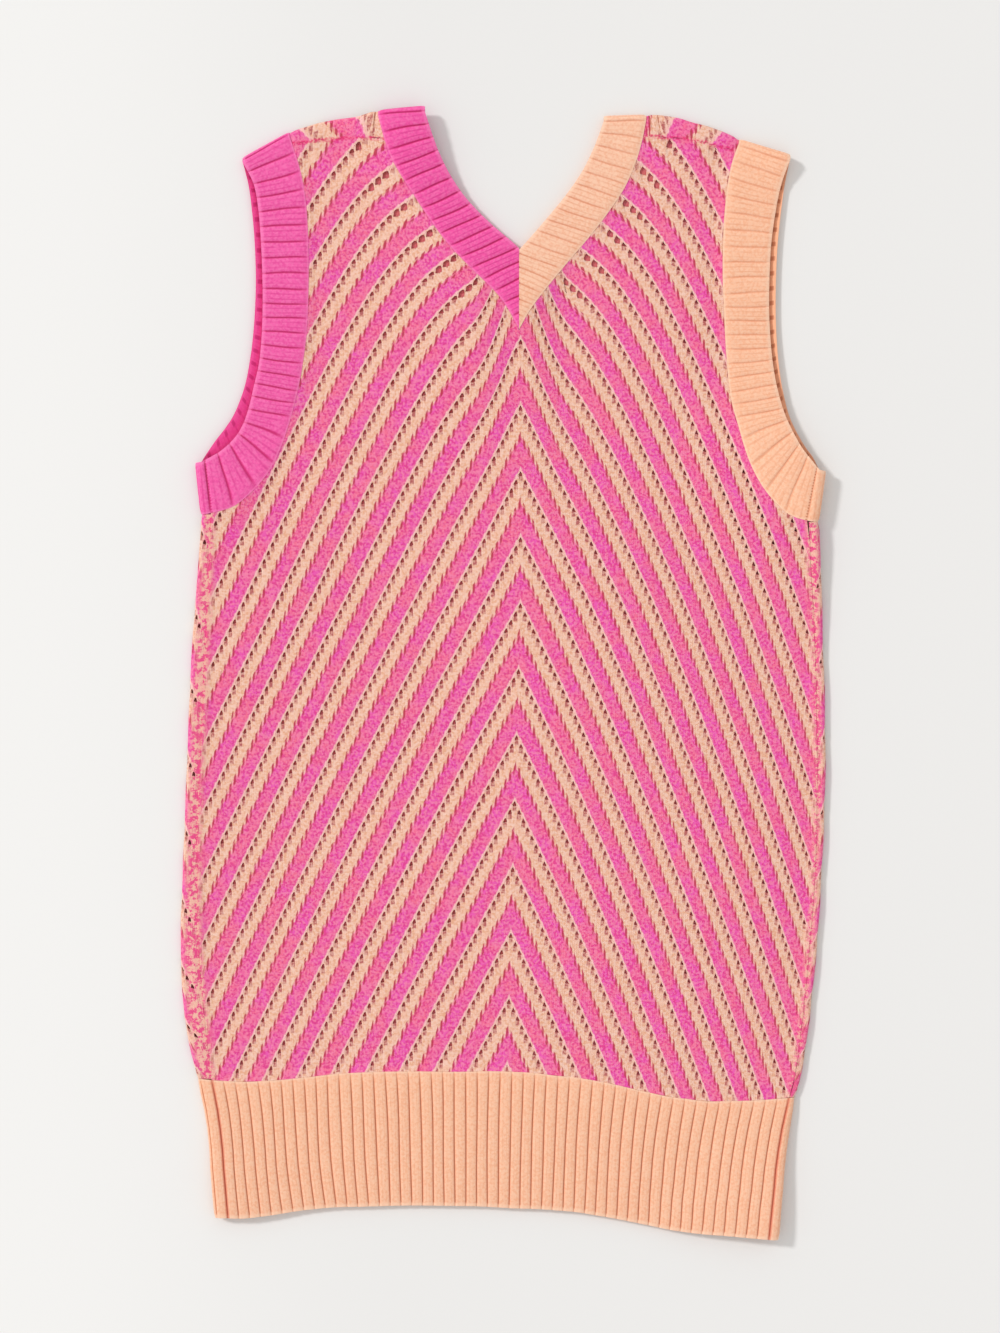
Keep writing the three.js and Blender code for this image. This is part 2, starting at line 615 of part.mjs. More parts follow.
function piece(name, geometry, finish) {
  const mesh = new THREE.Mesh(geometry, new THREE.MeshStandardMaterial({ ...finish, name }));
  mesh.name = name;
  return mesh;
}

const vest = new THREE.Group();
vest.name = "sweater_vest";
vest.add(
  piece("front_panel", frontPanel(), stripedKnit),
  piece("back_panel", backPanel(), stripedKnit),
  piece("hem_rib_front", hemFront(), orangeRib),
  piece("hem_rib_back", hemBack(), orangeRib),
  piece("neckband_left", neckband(neckLeft, -1), pinkRib),
  piece("neckband_right", neckband(neckRight, 1), orangeRib),
  piece("armhole_band_left", armholeBand(armholeLeft, -1), pinkRib),
  piece("armhole_band_right", armholeBand(armholeRight, 1), orangeRib),
);

// The tables are measured from the photo's middle: the origin goes under the middle of the vest itself.
const reach = new THREE.Box3().setFromObject(vest);
const centre = reach.getCenter(new THREE.Vector3());
vest.position.set(-centre.x, -centre.y, -reach.min.z);

export default vest;
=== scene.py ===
# %% [markdown]
# # A knitted sweater vest, laid flat
# The vest is a women's long V-neck in chevron lace: orange and pink stripes with a row of eyelets along each
# stripe, and broad ribbed bands round the neck, the armholes and the hem. Every piece below is cloth, so every
# piece is made in the same way. A flat plate is drawn in the cloth's own coordinates, holes are taken out of
# it, and then it is laid where the real piece lies: on top, underneath, or round a fold.

# %% Load the frame
import math

import bmesh
import bpy
import numpy as np
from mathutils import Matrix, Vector


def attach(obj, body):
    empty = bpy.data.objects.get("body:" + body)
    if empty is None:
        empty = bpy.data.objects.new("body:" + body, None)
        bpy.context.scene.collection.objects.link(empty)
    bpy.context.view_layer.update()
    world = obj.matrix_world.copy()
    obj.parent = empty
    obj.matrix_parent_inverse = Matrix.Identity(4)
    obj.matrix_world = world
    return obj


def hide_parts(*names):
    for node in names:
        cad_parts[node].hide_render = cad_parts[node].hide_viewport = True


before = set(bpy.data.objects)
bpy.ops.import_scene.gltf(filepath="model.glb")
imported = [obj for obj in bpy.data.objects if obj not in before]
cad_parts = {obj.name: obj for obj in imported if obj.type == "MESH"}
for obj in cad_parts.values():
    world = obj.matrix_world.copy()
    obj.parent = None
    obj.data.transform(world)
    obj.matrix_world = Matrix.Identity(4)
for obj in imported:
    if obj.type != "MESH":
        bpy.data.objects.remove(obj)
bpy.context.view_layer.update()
print("nodes:", sorted(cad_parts))

# %% [markdown]
# ## Sizes
# The vest was measured in millimetres from the middle of the photograph, and its origin is under the middle
# of the vest, so everything is moved by SHIFT and turned to metres at the very end. The cloth has a wall of
# 2 mm. Where it folds at a side or a shoulder, it turns round a hollow of about 0.4 mm, and the hollow grows
# where the cloth is lifted off the floor.

# %% The cloth and its layers
MM = 0.001
SHIFT = np.array([-0.0432, -1.4754])
WALL = 2.0
LAYER_GAP = 0.8
LIFTED_AIR = 0.45
HALF_SEAM = 0.03  # sewn edges all but touch
RIB_HEIGHT = 0.9
GROOVE_DROP = 0.3  # the visible groove is cut this much deeper than the plain wall
PLATE = 1.7  # thickness of the ribbed knit itself
LACE = 1.0  # the lace is thinner,
LACE_LOW = 1.2  # so it lies lower than the ribs
BACK_LACE = 2.2  # the back, up to the front's underside

LIFTS = [  # x, y, height, reach of each soft hump
    (214, 124, 4.6, 115),
    (192, 348, 4.2, 38),
    (-48, 372, 5.0, 75),
    (182, -372, 4.5, 95),
    (-190, -355, 2.2, 75),
    (-200, 135, 1.8, 65),
]


def lift(x, y):
    """Height of the underside above the floor."""
    total = np.zeros(np.broadcast(x, y).shape)
    for hump_x, hump_y, height, reach in LIFTS:
        share = np.minimum(np.hypot(x - hump_x, y - hump_y) / reach, 1)
        total += height * (1 - share**2) ** 2
    return total


def hollow(x, y):
    return (LAYER_GAP + LIFTED_AIR * lift(x, y)) / 2


def station(x, y, turn, dx=0.0, dy=0.0, rise=0.0):
    """A point on the cloth: turn is -90 degrees underneath, 90 on top, and between them it is on a fold.
    rise is measured outwards from the wall's outer face."""
    air = hollow(x, y)
    middle = lift(x, y) + WALL + air
    radius = WALL + air + rise
    out = radius * np.cos(np.radians(turn))
    return np.stack([x + dx * out, y + dy * out, middle + radius * np.sin(np.radians(turn))], axis=-1)


print("one layer of cloth is", WALL, "mm, two are", 2 * WALL + LAYER_GAP, "mm")

# %% [markdown]
# ## The outline, as short tables
# The vest isn't symmetric: it was laid down by hand. Its outline is given by a few rows for each side, and a
# smooth curve runs through them. "Fold" columns say where the flat cloth ends and the fold begins.

# %% The tables of the outline
def table(columns, rows):
    return dict(zip(columns.split(), np.array(rows, float).T))


SIDES = table("y left_fold left_seam right_seam right_fold", [
    (-276, -193.0, -187.5, 185.0, 186.4),
    (-262, -195.8, -189.0, 188.9, 190.3),
    (-237, -201.6, -192.0, 192.3, 194.6),
    (-211, -205.1, -194.5, 195.5, 197.8),
    (-172, -206.6, -197.5, 199.0, 201.6),
    (-133, -205.6, -198.0, 202.0, 204.0),
    (-81, -203.6, -197.5, 203.6, 206.4),
    (-29, -201.6, -195.0, 203.3, 206.6),
    (23, -199.1, -192.5, 202.0, 205.1),
    (68, -195.6, -190.5, 199.3, 203.1),
    (106, -192.9, -189.3, 197.6, 200.6),
])
HEM_SIDES = table("down left_fold left_seam right_seam right_fold", [
    (0.00, -195.6, -188.8, 185.5, 186.9),
    (0.33, -189.0, -183.5, 179.0, 181.2),
    (0.66, -186.3, -180.7, 175.3, 177.7),
    (1.00, -183.5, -178.0, 172.0, 174.7),
])
HEM_LINES = table("x seam edge", [
    (-198, -261.5, -349.5),
    (-179, -263.0, -351.5),
    (-156, -263.0, -350.5),
    (-127, -260.5, -346.5),
    (-93, -257.5, -344.5),
    (-28, -257.0, -344.0),
    (6, -257.0, -345.5),
    (34, -259.5, -346.8),
    (60, -262.8, -350.0),
    (93, -270.0, -356.2),
    (117, -274.3, -360.5),
    (146, -276.0, -362.8),
    (191, -273.5, -366.5),
])
SHOULDER_LINES = table("x fold seam", [
    (-140, 349.6, 344.3),
    (-127, 354.1, 346.3),
    (-112, 357.7, 347.6),
    (-95, 359.7, 348.7),
    (-78, 363.0, 347.7),
    (90, 361.3, 350.0),
    (108, 360.6, 348.6),
    (123, 356.6, 347.5),
    (139, 352.1, 343.4),
    (154, 345.3, 339.5),
])


def read(rows, key, column, place):
    """The value of a column at a place in the key column, smoothly between the rows."""
    xs, ys = rows[key], rows[column]
    place = np.asarray(place, float)
    last = len(xs) - 1
    before = np.maximum(np.arange(last + 1) - 1, 0)
    after = np.minimum(np.arange(last + 1) + 1, last)
    slope = (ys[after] - ys[before]) / (xs[after] - xs[before])
    i = np.clip(np.searchsorted(xs, place, side="right") - 1, 0, last - 1)
    span = xs[i + 1] - xs[i]
    t = np.clip((place - xs[i]) / span, 0, 1)
    start = ys[i] + slope[i] * span * t
    end = ys[i + 1] - slope[i + 1] * span * (1 - t)
    return start + (end - start) * t * t * (3 - 2 * t)


def hem_seam(x):
    return read(HEM_LINES, "x", "seam", x)


def hem_edge(x):
    return read(HEM_LINES, "x", "edge", x)


def shoulder_fold(x):
    return read(SHOULDER_LINES, "x", "fold", x)


def shoulder_seam(x):
    return read(SHOULDER_LINES, "x", "seam", x)


print("hem seam in the middle:", round(float(hem_seam(0)), 1), "mm")

# %% [markdown]
# ## The bands' edges
# A ribbed band is knitted along its length and sewn to the panels' edges. Its table gives one line across the
# band per row: where it meets the seam and where its free edge is, on the front and on the back. The lines
# are the way the ribs run, so they lean and fan just as the real ribs do.

# %% The tables of the bands
ARMHOLE_LEFT = [  # seam x, seam y, free x, free y, back's free x, back's free y
    (-192.9, 104.5, -196.1, 138.0, -196.1, 138.0),
    (-176.0, 109.0, -183.0, 145.5, -187.0, 151.5),
    (-164.0, 118.0, -174.0, 154.0, -180.5, 160.0),
    (-153.0, 130.5, -168.5, 163.0, -175.0, 168.5),
    (-145.0, 145.5, -164.5, 175.0, -170.5, 179.0),
    (-138.5, 164.0, -161.5, 188.0, -167.0, 190.0),
    (-133.5, 183.0, -158.5, 201.0, -164.5, 203.0),
    (-130.0, 201.0, -157.0, 213.5, -162.8, 215.0),
    (-127.0, 226.0, -156.0, 232.0, -161.2, 233.0),
    (-126.0, 257.0, -156.0, 257.0, -160.4, 257.0),
    (-126.3, 283.0, -157.0, 281.5, -161.2, 281.5),
    (-127.8, 307.0, -158.7, 302.5, -163.0, 302.5),
    (-131.5, 328.0, -161.8, 319.0, -165.3, 319.0),
    (-138.5, 350.1, -169.0, 333.1, -169.0, 333.1),
]
ARMHOLE_RIGHT = [
    (200.6, 99.5, 205.1, 132.5, 205.1, 132.5),
    (188.5, 102.5, 199.0, 140.0, 201.0, 141.0),
    (179.0, 109.0, 193.0, 148.0, 196.0, 148.0),
    (167.5, 123.0, 186.5, 160.0, 190.3, 158.0),
    (159.0, 140.0, 181.5, 172.0, 185.3, 169.5),
    (152.0, 163.0, 177.5, 187.0, 181.3, 185.5),
    (147.5, 180.5, 175.3, 199.5, 179.2, 198.5),
    (145.0, 205.0, 173.7, 214.5, 177.8, 214.5),
    (143.5, 231.0, 172.6, 235.0, 177.0, 235.0),
    (142.5, 257.0, 172.8, 258.0, 177.2, 258.0),
    (142.7, 283.0, 174.0, 280.5, 178.3, 280.5),
    (144.5, 309.0, 177.0, 302.0, 180.5, 302.0),
    (147.8, 330.0, 180.5, 318.5, 182.8, 318.5),
    (153.0, 345.6, 186.0, 334.1, 186.0, 334.1),
]
NECK_LEFT = [  # seam x, seam y, free x, free y
    (10.9, 223.4, 40.0, 238.0),
    (2.5, 239.0, 32.0, 252.0),
    (-6.5, 250.5, 22.5, 264.8),
    (-21.5, 265.0, 8.9, 278.6),
    (-36.5, 281.0, -8.5, 293.6),
    (-49.0, 298.0, -23.6, 309.2),
    (-58.5, 312.5, -33.6, 323.4),
    (-67.0, 325.5, -40.4, 336.4),
    (-74.5, 340.0, -45.0, 348.0),
    (-81.0, 362.6, -50.5, 364.6),
]
NECK_RIGHT = [
    (9.9, 223.4, -20.0, 236.0),
    (17.5, 237.0, -12.5, 249.5),
    (28.0, 251.0, -1.5, 263.5),
    (42.0, 268.0, 12.6, 278.4),
    (56.5, 285.0, 27.0, 294.8),
    (69.5, 302.0, 40.8, 311.6),
    (79.5, 317.5, 51.3, 326.9),
    (86.5, 334.0, 58.6, 341.5),
    (90.5, 348.0, 62.5, 351.5),
    (93.0, 361.1, 65.5, 360.1),
]
ARMHOLE_LEAN = table("share ahead", [  # a rib's seam end is this much farther up the band than its free end
    (0.014, 0.0),
    (0.05, 0.01),
    (0.09, 0.035),
    (0.13, 0.06),
    (0.17, 0.078),
    (0.21, 0.09),
    (0.25, 0.087),
    (0.31, 0.067),
    (0.375, 0.049),
    (0.45, 0.034),
    (0.54, 0.017),
    (0.65, 0.0),
    (1.0, 0.0),
])
V_POINT = np.array([10.4, 224.0])
MITRE_X = 10.4
UNDERARM_SEAM = 0.014


def spline(points, t):
    """A Catmull-Rom curve through the points, read by t from 0 to 1."""
    last = len(points) - 1
    place = np.clip(np.asarray(t, float), 0, 1) * last
    k = np.minimum(np.floor(place).astype(int), last)
    w = (place - k)[..., None]
    p0, p1 = points[np.maximum(k - 1, 0)], points[k]
    p2, p3 = points[np.minimum(k + 1, last)], points[np.minimum(k + 2, last)]
    v0, v1 = (p2 - p0) / 2, (p3 - p1) / 2
    return (2 * p1 - 2 * p2 + v0 + v1) * w**3 + (-3 * p1 + 3 * p2 - 2 * v0 - v1) * w**2 + v0 * w + p1


class BandEdges:
    """The edges of a band, read by the share of the length of the band's middle line."""

    def __init__(self, rows):
        rows = np.array(rows, float)
        self.seam, self.free, self.back = rows[:, :2], rows[:, 2:4], rows[:, -2:]
        steps = np.linspace(0, 1, 201)
        line = spline((self.seam + self.free) / 2, steps)
        self.lengths = np.concatenate([[0], np.cumsum(np.hypot(*np.diff(line, axis=0).T))])
        self.length = self.lengths[-1]

    def at(self, edge, share):
        return spline(edge, np.interp(np.asarray(share) * self.length, self.lengths, np.linspace(0, 1, 201)))

    def along_rib(self, share, distance):
        """A point this far from the seam line, out along the rib."""
        start, end = self.at(self.seam, share), self.at(self.free, share)
        way = end - start
        return start + way / np.hypot(way[..., 0], way[..., 1])[..., None] * distance

    def panel_edge(self, share):
        return self.along_rib(share, -HALF_SEAM)


armhole_left, armhole_right = BandEdges(ARMHOLE_LEFT), BandEdges(ARMHOLE_RIGHT)
neck_left, neck_right = BandEdges(NECK_LEFT), BandEdges(NECK_RIGHT)
print("armhole bands, one side:", round(armhole_left.length), "and", round(armhole_right.length), "mm")

# %% [markdown]
# ## The chevron stripes
# The lace is knitted in vertical columns of stitches, the wales, and the chevron comes from moving stitches
# towards the middle line in every course. So a place on the panel has two natural coordinates: how many
# eyelets it is from the middle, counted along its stripe, and how many stripes it is below the top of the V.
# Both the mesh and the colours use them. Near the neck the stripes bend upwards, because the neckband pulls
# them. The eyelets stay the same distance apart along a stripe, so their lengths are kept in a table.

# %% Stripe coordinates
PERIOD = 42.8  # mm from stripe to stripe down the middle
TIP = 218.1
EYELET_PITCH = 6.2  # mm from eyelet to eyelet along a stripe
FALL = {-1: (1.823, 0.00048, 0.000243), 1: (1.851, 0.00167, 0.000228)}  # slope, bend and spread on each side
PULL, PULL_REACH = 42.9, 35.8  # mm
PULL_STARTS, PULL_FULL = 3.0, 33.0  # mm from the middle line

neck_line = np.concatenate([e.at(e.seam, np.linspace(0, 1, 45)) for e in (neck_left, neck_right)])


def middle_x(y):
    return 11.4 + 0.029 * np.minimum(0, y - 49)


def neck_pull(x, y):
    """How far the neckband pulls the stripes down from their straight run at a place."""
    near = y > 60
    amount = np.zeros(np.shape(x))
    px, py = x[near], y[near]
    away = np.hypot(px[:, None] - neck_line[:, 0], py[:, None] - neck_line[:, 1]).min(axis=1)
    t = np.clip((np.abs(px - middle_x(py)) - PULL_STARTS) / (PULL_FULL - PULL_STARTS), 0, 1)
    amount[near] = PULL * np.exp(-away / PULL_REACH) * t * t * (3 - 2 * t)
    return amount


def fall_terms(side):
    left, right = np.array(FALL[-1]), np.array(FALL[1])
    return np.where(side[:, None] < 0, left, right).T


def stripe_number(x, y):
    """How many stripes below the top of the V a place is."""
    d = x - middle_x(y)
    slope, bend, spread = fall_terms(d)
    d = np.abs(d)
    straight = y + neck_pull(x, y)
    return (TIP - slope * d - bend * d * d - straight * (1 - spread * d)) / PERIOD


def stripe_place(d, number):
    """Where the stripe of this number is, at a signed distance from the middle line."""
    slope, bend, spread = fall_terms(d)
    away = np.abs(d)
    straight = (TIP - PERIOD * number - slope * away - bend * away**2) / (1 - spread * away)
    y = straight.copy()
    for _ in range(10):
        y += 0.55 * (straight - neck_pull(middle_x(y) + d, y) - y)
    return middle_x(y) + d, y


AWAY = np.arange(-248.0, 249.0, 2.0)  # signed distances from the middle line, in mm
NUMBERS = np.arange(-13.0, 14.1, 0.25)
away_grid, number_grid = np.meshgrid(AWAY, NUMBERS)
table_x, table_y = (v.reshape(away_grid.shape) for v in stripe_place(away_grid.ravel(), number_grid.ravel()))
RUN = np.cumsum(np.hypot(np.diff(table_x, axis=1, prepend=table_x[:, :1]),
                         np.diff(table_y, axis=1, prepend=table_y[:, :1])), axis=1)
RUN -= RUN[:, [len(AWAY) // 2]]


def table_row(number):
    """The two rows of the table round a stripe number, and its place between them."""
    place = np.clip((number - NUMBERS[0]) / 0.25, 0, len(NUMBERS) - 1.001)
    row = np.floor(place).astype(int)
    return row, place - row


def wale_number(x, y, number):
    """How many eyelets a place is from the middle line, counted along its stripe."""
    place = np.clip((x - middle_x(y) - AWAY[0]) / 2.0, 0, len(AWAY) - 1.001)
    column = np.floor(place).astype(int)
    w = place - column
    row, t = table_row(number)
    low = RUN[row, column] * (1 - w) + RUN[row, column + 1] * w
    high = RUN[row + 1, column] * (1 - w) + RUN[row + 1, column + 1] * w
    return (low * (1 - t) + high * t) / EYELET_PITCH


def wale_place(wales, number):
    """The signed distance from the middle line at which a stripe has its eyelet of this number."""
    away = np.empty(len(wales))
    for value in np.unique(number):
        row, t = table_row(value)
        these = number == value
        run = RUN[row] * (1 - t) + RUN[row + 1] * t
        away[these] = np.interp(wales[these] * EYELET_PITCH, run, AWAY)
    return away


check_x, check_y = stripe_place(np.array([-80.0, 60.0]), np.array([-4.0, 3.0]))
print("stripes -4 and 3 come back as", stripe_number(check_x, check_y).round(3))

# %% [markdown]
# ## Plates of cloth
# `bmesh.ops.create_grid` makes the grid. Its rows and columns are then spaced as the cloth needs, more of
# them where a rib or an eyelet turns. Extruding the whole grid keeps the first sheet and adds a second one
# with rims between them, so the plate is closed. The plate's z says which face a point is on: 0 is the outer
# face and -1 the inner one, and it is kept as the attribute "inside" for the finishes.

# %% Making a plate and laying it
def grid_plate(columns, rows, warp=None, holes=None):
    """A flat closed plate with lines at the given places. warp moves its points, and holes(cells) picks the
    grid cells that are left out."""
    bm = bmesh.new()
    bmesh.ops.create_grid(bm, x_segments=len(columns) - 1, y_segments=len(rows) - 1, size=0.5)
    a, b = (g.ravel() for g in np.meshgrid(columns, rows))
    if warp is not None:
        a, b = warp(a, b)
    for vert, pa, pb in zip(bm.verts, a, b):
        vert.co = (pa, pb, 0)
    if holes is not None:
        bm.faces.ensure_lookup_table()
        gone = [bm.faces[i] for i in np.flatnonzero(holes(a, b))]
        bmesh.ops.delete(bm, geom=gone, context="FACES")
    made = bmesh.ops.extrude_face_region(bm, geom=bm.faces[:])
    for item in made["geom"]:
        if isinstance(item, bmesh.types.BMVert):
            item.co.z = -1
    bmesh.ops.recalc_face_normals(bm, faces=bm.faces[:])
    return bm


def lay(bm, place):
    """Move the plate's points to their place on the vest, in metres, and give the plate its UV map. The third
    column that place() gives with the UV becomes the attribute "margin": mm to a sewn or a free edge."""
    flat = np.array([v.co for v in bm.verts])
    xyz, uv = place(flat[:, 0], flat[:, 1], flat[:, 2])
    xyz[:, :2] += SHIFT
    bm.verts.index_update()
    for vert, p in zip(bm.verts, xyz * MM):
        vert.co = p
    inside_layer = bm.verts.layers.float.new("inside")
    margin_layer = bm.verts.layers.float.new("margin")
    for vert, depth, margin in zip(bm.verts, flat[:, 2], uv[:, 2]):
        vert[inside_layer] = float(depth < -0.5)
        vert[margin_layer] = float(margin)
    layer = bm.loops.layers.uv.new("UVMap")
    for face in bm.faces:
        for loop in face.loops:
            loop[layer].uv = uv[loop.vert.index, :2]
    bmesh.ops.recalc_face_normals(bm, faces=bm.faces[:])


def finish_piece(name, bm, node, sharp=50):
    """Turn the mesh into an object that stands for its CAD node."""
    mesh = bpy.data.meshes.new(name)
    bm.to_mesh(mesh)
    bm.free()
    mesh.shade_smooth()
    mesh.set_sharp_from_angle(angle=math.radians(sharp))
    piece = bpy.data.objects.new(name, mesh)
    bpy.context.collection.objects.link(piece)
    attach(piece, "root")
    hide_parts(node)
    triangles = sum(len(p.vertices) - 2 for p in mesh.polygons)
    print(name, "has", triangles, "triangles")
    return piece


# %% [markdown]
# ## Cutting a panel
# On the real vest a panel is knitted to its outline. Here the lace plate is made too large and cut with a
# prism of the outline. The Boolean modifier's Manifold solver is fast and exact enough for that.

# %% Cut a plate to an outline
def prism(outline):
    bm = bmesh.new()
    bmesh.ops.create_circle(bm, cap_ends=True, segments=len(outline), radius=1)
    for vert, (x, y) in zip(bm.verts, outline):
        vert.co = (x, y, -3)
    made = bmesh.ops.extrude_face_region(bm, geom=bm.faces[:])
    for item in made["geom"]:
        if isinstance(item, bmesh.types.BMVert):
            item.co.z = 2
    bmesh.ops.recalc_face_normals(bm, faces=bm.faces[:])
    return bm


def cut_to(bm, outline):
    objects = []
    for name, part in (("lace_plate", bm), ("outline_cutter", prism(outline))):
        mesh = bpy.data.meshes.new(name)
        part.to_mesh(mesh)
        part.free()
        objects.append(bpy.data.objects.new(name, mesh))
        bpy.context.collection.objects.link(objects[-1])
    plate, cutter = objects
    cut = plate.modifiers.new("cut", "BOOLEAN")
    cut.operation = "INTERSECT"
    cut.solver = "MANIFOLD"
    cut.object = cutter
    result = bmesh.new()
    result.from_object(plate, bpy.context.evaluated_depsgraph_get())
    for obj in objects:
        mesh = obj.data
        bpy.data.objects.remove(obj)
        bpy.data.meshes.remove(mesh)
    bmesh.ops.remove_doubles(result, verts=result.verts[:], dist=0.01)
    print("cut plate:", len(result.faces), "faces")
    return result


def inside(outline, x, y):
    """Which points are inside a closed outline, by counting crossings."""
    count = np.zeros(len(x), int)
    for (ax, ay), (bx, by) in zip(outline, np.roll(outline, -1, axis=0)):
        between = (ay > y) != (by > y)
        at = ax + (y - ay) / ((by - ay) or 1) * (bx - ax)
        count += between & (x < at)
    return count % 2 == 1


def distance_to(outline, x, y):
    best = np.full(len(x), np.inf)
    for a, b in zip(outline, np.roll(outline, -1, axis=0)):
        way = b - a
        t = np.clip(((x - a[0]) * way[0] + (y - a[1]) * way[1]) / (way @ way), 0, 1)
        best = np.minimum(best, np.hypot(x - a[0] - t * way[0], y - a[1] - t * way[1]))
    return best


# %% [markdown]
# ## Lace
# Each eyelet is a teardrop at the upper edge of an orange stripe. Its upper half is a real hole, and in its
# lower half crossed strands lie a little lower than the cloth round them. The grid has three columns to a wale
# and more rows near the eyelets. The two cells in the upper half of each eyelet are left out, and the points
# round an eyelet are drawn in at its top and out at its foot.

# %% The lace plate
ROWS = [0.0, 0.012, 0.072, 0.14, 0.33, 0.55, 0.78]  # places of the rows within one stripe
WAIST = {1: 0.3, 2: 0.42, 3: 0.45}  # half width of an eyelet at its three rows, in wales
LEVEL = {1: 0.8, 2: 0.8, 3: 0.7}  # how far those rows are levelled against the stripe's fall
LEAN = {-1: {1: -0.1, 2: 0.02, 3: 0.12}, 1: {1: 0.34, 2: 0.06, 3: -0.12}}  # how far they lean, on each side
EYE_FALL = 0.125  # how far a stripe falls from one eyelet to the next, in stripes
PULL_OPENS = 24.0  # mm of pull from the neckband that draws an eyelet open over its whole height


def anywhere(x, y):
    return np.ones(len(x), dtype=bool)


def lace_plate(outline, wales, stripes, shift, flat=anywhere):
    """A lace plate cut to an outline. shift moves the stripes up by a part of a period, and flat() says where
    the cloth lies flat enough for open eyelets."""
    columns = np.arange(3 * wales[0] - 1, 3 * wales[1] + 2)
    lines = np.arange(len(ROWS) * (stripes[1] - stripes[0]) + 1)
    across = len(columns) - 1

    def warp(column, line):
        column, line = column.astype(int), line.astype(int)
        wale = np.floor_divide(column + 1, 3)
        offset = (column - 3 * wale) / 3.0
        row = line % len(ROWS)
        number = stripes[0] + line // len(ROWS) + np.array(ROWS)[row] + shift
        width = np.ones(len(column))
        level = np.zeros(len(column))
        lean = np.zeros(len(column))
        for k in WAIST:
            width[row == k] = WAIST[k] * 3
            level[row == k] = LEVEL[k]
            for side, leans in LEAN.items():
                lean[(row == k) & (np.sign(wale) == side)] = leans[k]
        middle = wale_place(wale, number)
        beside = wale_place(wale + offset, number) - middle
        x, y = stripe_place(middle + beside * (1 - level), number)
        return middle_x(y) + wale_place(wale + offset * width + lean, number), y

    def holes(x, y):
        cell = np.arange(across * (len(lines) - 1))
        i, j = cell % across, cell // across
        first = i + j * len(columns)
        corners = np.stack([first, first + 1, first + len(columns), first + len(columns) + 1])
        cx, cy = x[corners].mean(axis=0), y[corners].mean(axis=0)
        column, row = columns[i], j % len(ROWS)
        wale = np.floor_divide(column + 1, 3)
        inner = column + 1 - 3 * wale < 2
        middle_vert = (3 * wale - columns[0]) + (j - row + 2) * len(columns)
        mx, my = x[np.clip(middle_vert, 0, len(x) - 1)], y[np.clip(middle_vert, 0, len(y) - 1)]
        in_eyelet = inner & ((row == 1) | ((row == 2) & (neck_pull(mx, my) > PULL_OPENS)))
        whole = inside(outline, mx, my) & (distance_to(outline, mx, my) > 3.2) & flat(mx, my)
        far = ~inside(outline, cx, cy) & (distance_to(outline, cx, cy) > 6)
        print("eyelets:", int((in_eyelet & whole & (row == 1)).sum() // 2))
        return (in_eyelet & whole) | far

    return cut_to(grid_plate(columns, lines, warp, holes), outline)


def lace_relief(number, wales):
    """Low relief of the lace, in mm: a ridge of chain stitches above the eyelets, and soft bellies between."""
    near = (number + 0.5) % 1.0 - 0.5
    beside = (wales + 0.5) % 1.0 - 0.5
    level = near + EYE_FALL * beside * np.sign(wales)
    chain = 0.15 * np.exp(-(((near + 0.012) / 0.018) ** 2))
    eye = -0.4 * np.exp(-(((level - 0.1) / 0.035) ** 2)) * np.clip((0.5 - np.abs(beside)) / 0.15, 0, 1)
    belly = 0.3 * np.sin(np.pi * np.clip((number % 1.0 - 0.14) / 0.84, 0, 1)) ** 2
    return chain + eye + belly


# %% [markdown]
# ## Front panel
# The front lies on top, so its plate is laid at the top layer's height. Its outline runs up the left side
# seam, round the left armhole to the shoulder, down the neck to the point of the V, and back on the right.

# %% The front panel
def shoulder_share(edges):
    """The share of a band's length at which the shoulder seam meets it on the front."""
    shares = np.linspace(0.8, 1, 400)
    points = edges.panel_edge(shares)
    return shares[np.argmax(points[:, 1] > shoulder_seam(points[:, 0]))]


def side_line(column, points, up):
    y = np.linspace(-1, 0, points)
    side = -1 if column.startswith("left") else 1
    edge = armhole_left if side < 0 else armhole_right
    top = edge.panel_edge(0)[1]
    foot = hem_seam(read(SIDES, "y", column, -262)) + HALF_SEAM
    y = foot + (top - foot) * (y + 1)
    line = np.stack([read(SIDES, "y", column, y), y], axis=1)
    return line if up else line[::-1]


def front_half(arm, neck):
    arm_share, neck_share = shoulder_share(arm), shoulder_share(neck)
    start, end = arm.panel_edge(arm_share), neck.panel_edge(neck_share)
    xs = np.linspace(start[0], end[0], 8)[1:-1]
    return np.concatenate([
        arm.panel_edge(np.linspace(UNDERARM_SEAM, arm_share, 50)),
        np.stack([xs, shoulder_seam(xs) - HALF_SEAM], axis=1),
        neck.panel_edge(np.linspace(neck_share, 0.04, 32)),
    ])


left_side = side_line("left_seam", 30, True) + (HALF_SEAM, 0)
right_side = side_line("right_seam", 30, False) - (HALF_SEAM, 0)
hem_xs = np.linspace(right_side[-1, 0], left_side[0, 0], 40)[1:-1]
front_outline = np.concatenate([
    left_side[:-1],
    front_half(armhole_left, neck_left),
    [V_POINT - (0, HALF_SEAM)],
    front_half(armhole_right, neck_right)[::-1],
    right_side[1:],
    np.stack([hem_xs, hem_seam(hem_xs) + HALF_SEAM], axis=1),
])
print("front outline:", len(front_outline), "points")


def soft_waves(x, y):
    """The slight waves of cloth that was smoothed down by hand, in mm."""
    return 0.35 * np.sin(x / 31 + 0.7 * np.sin(y / 47)) * np.sin(y / 53 + 1.1) + 0.2 * np.sin((x + y) / 17)


def edge_fade(outline, x, y, reach):
    t = np.clip(distance_to(outline, x, y) / reach, 0, 1)
    return t * t * (3 - 2 * t)


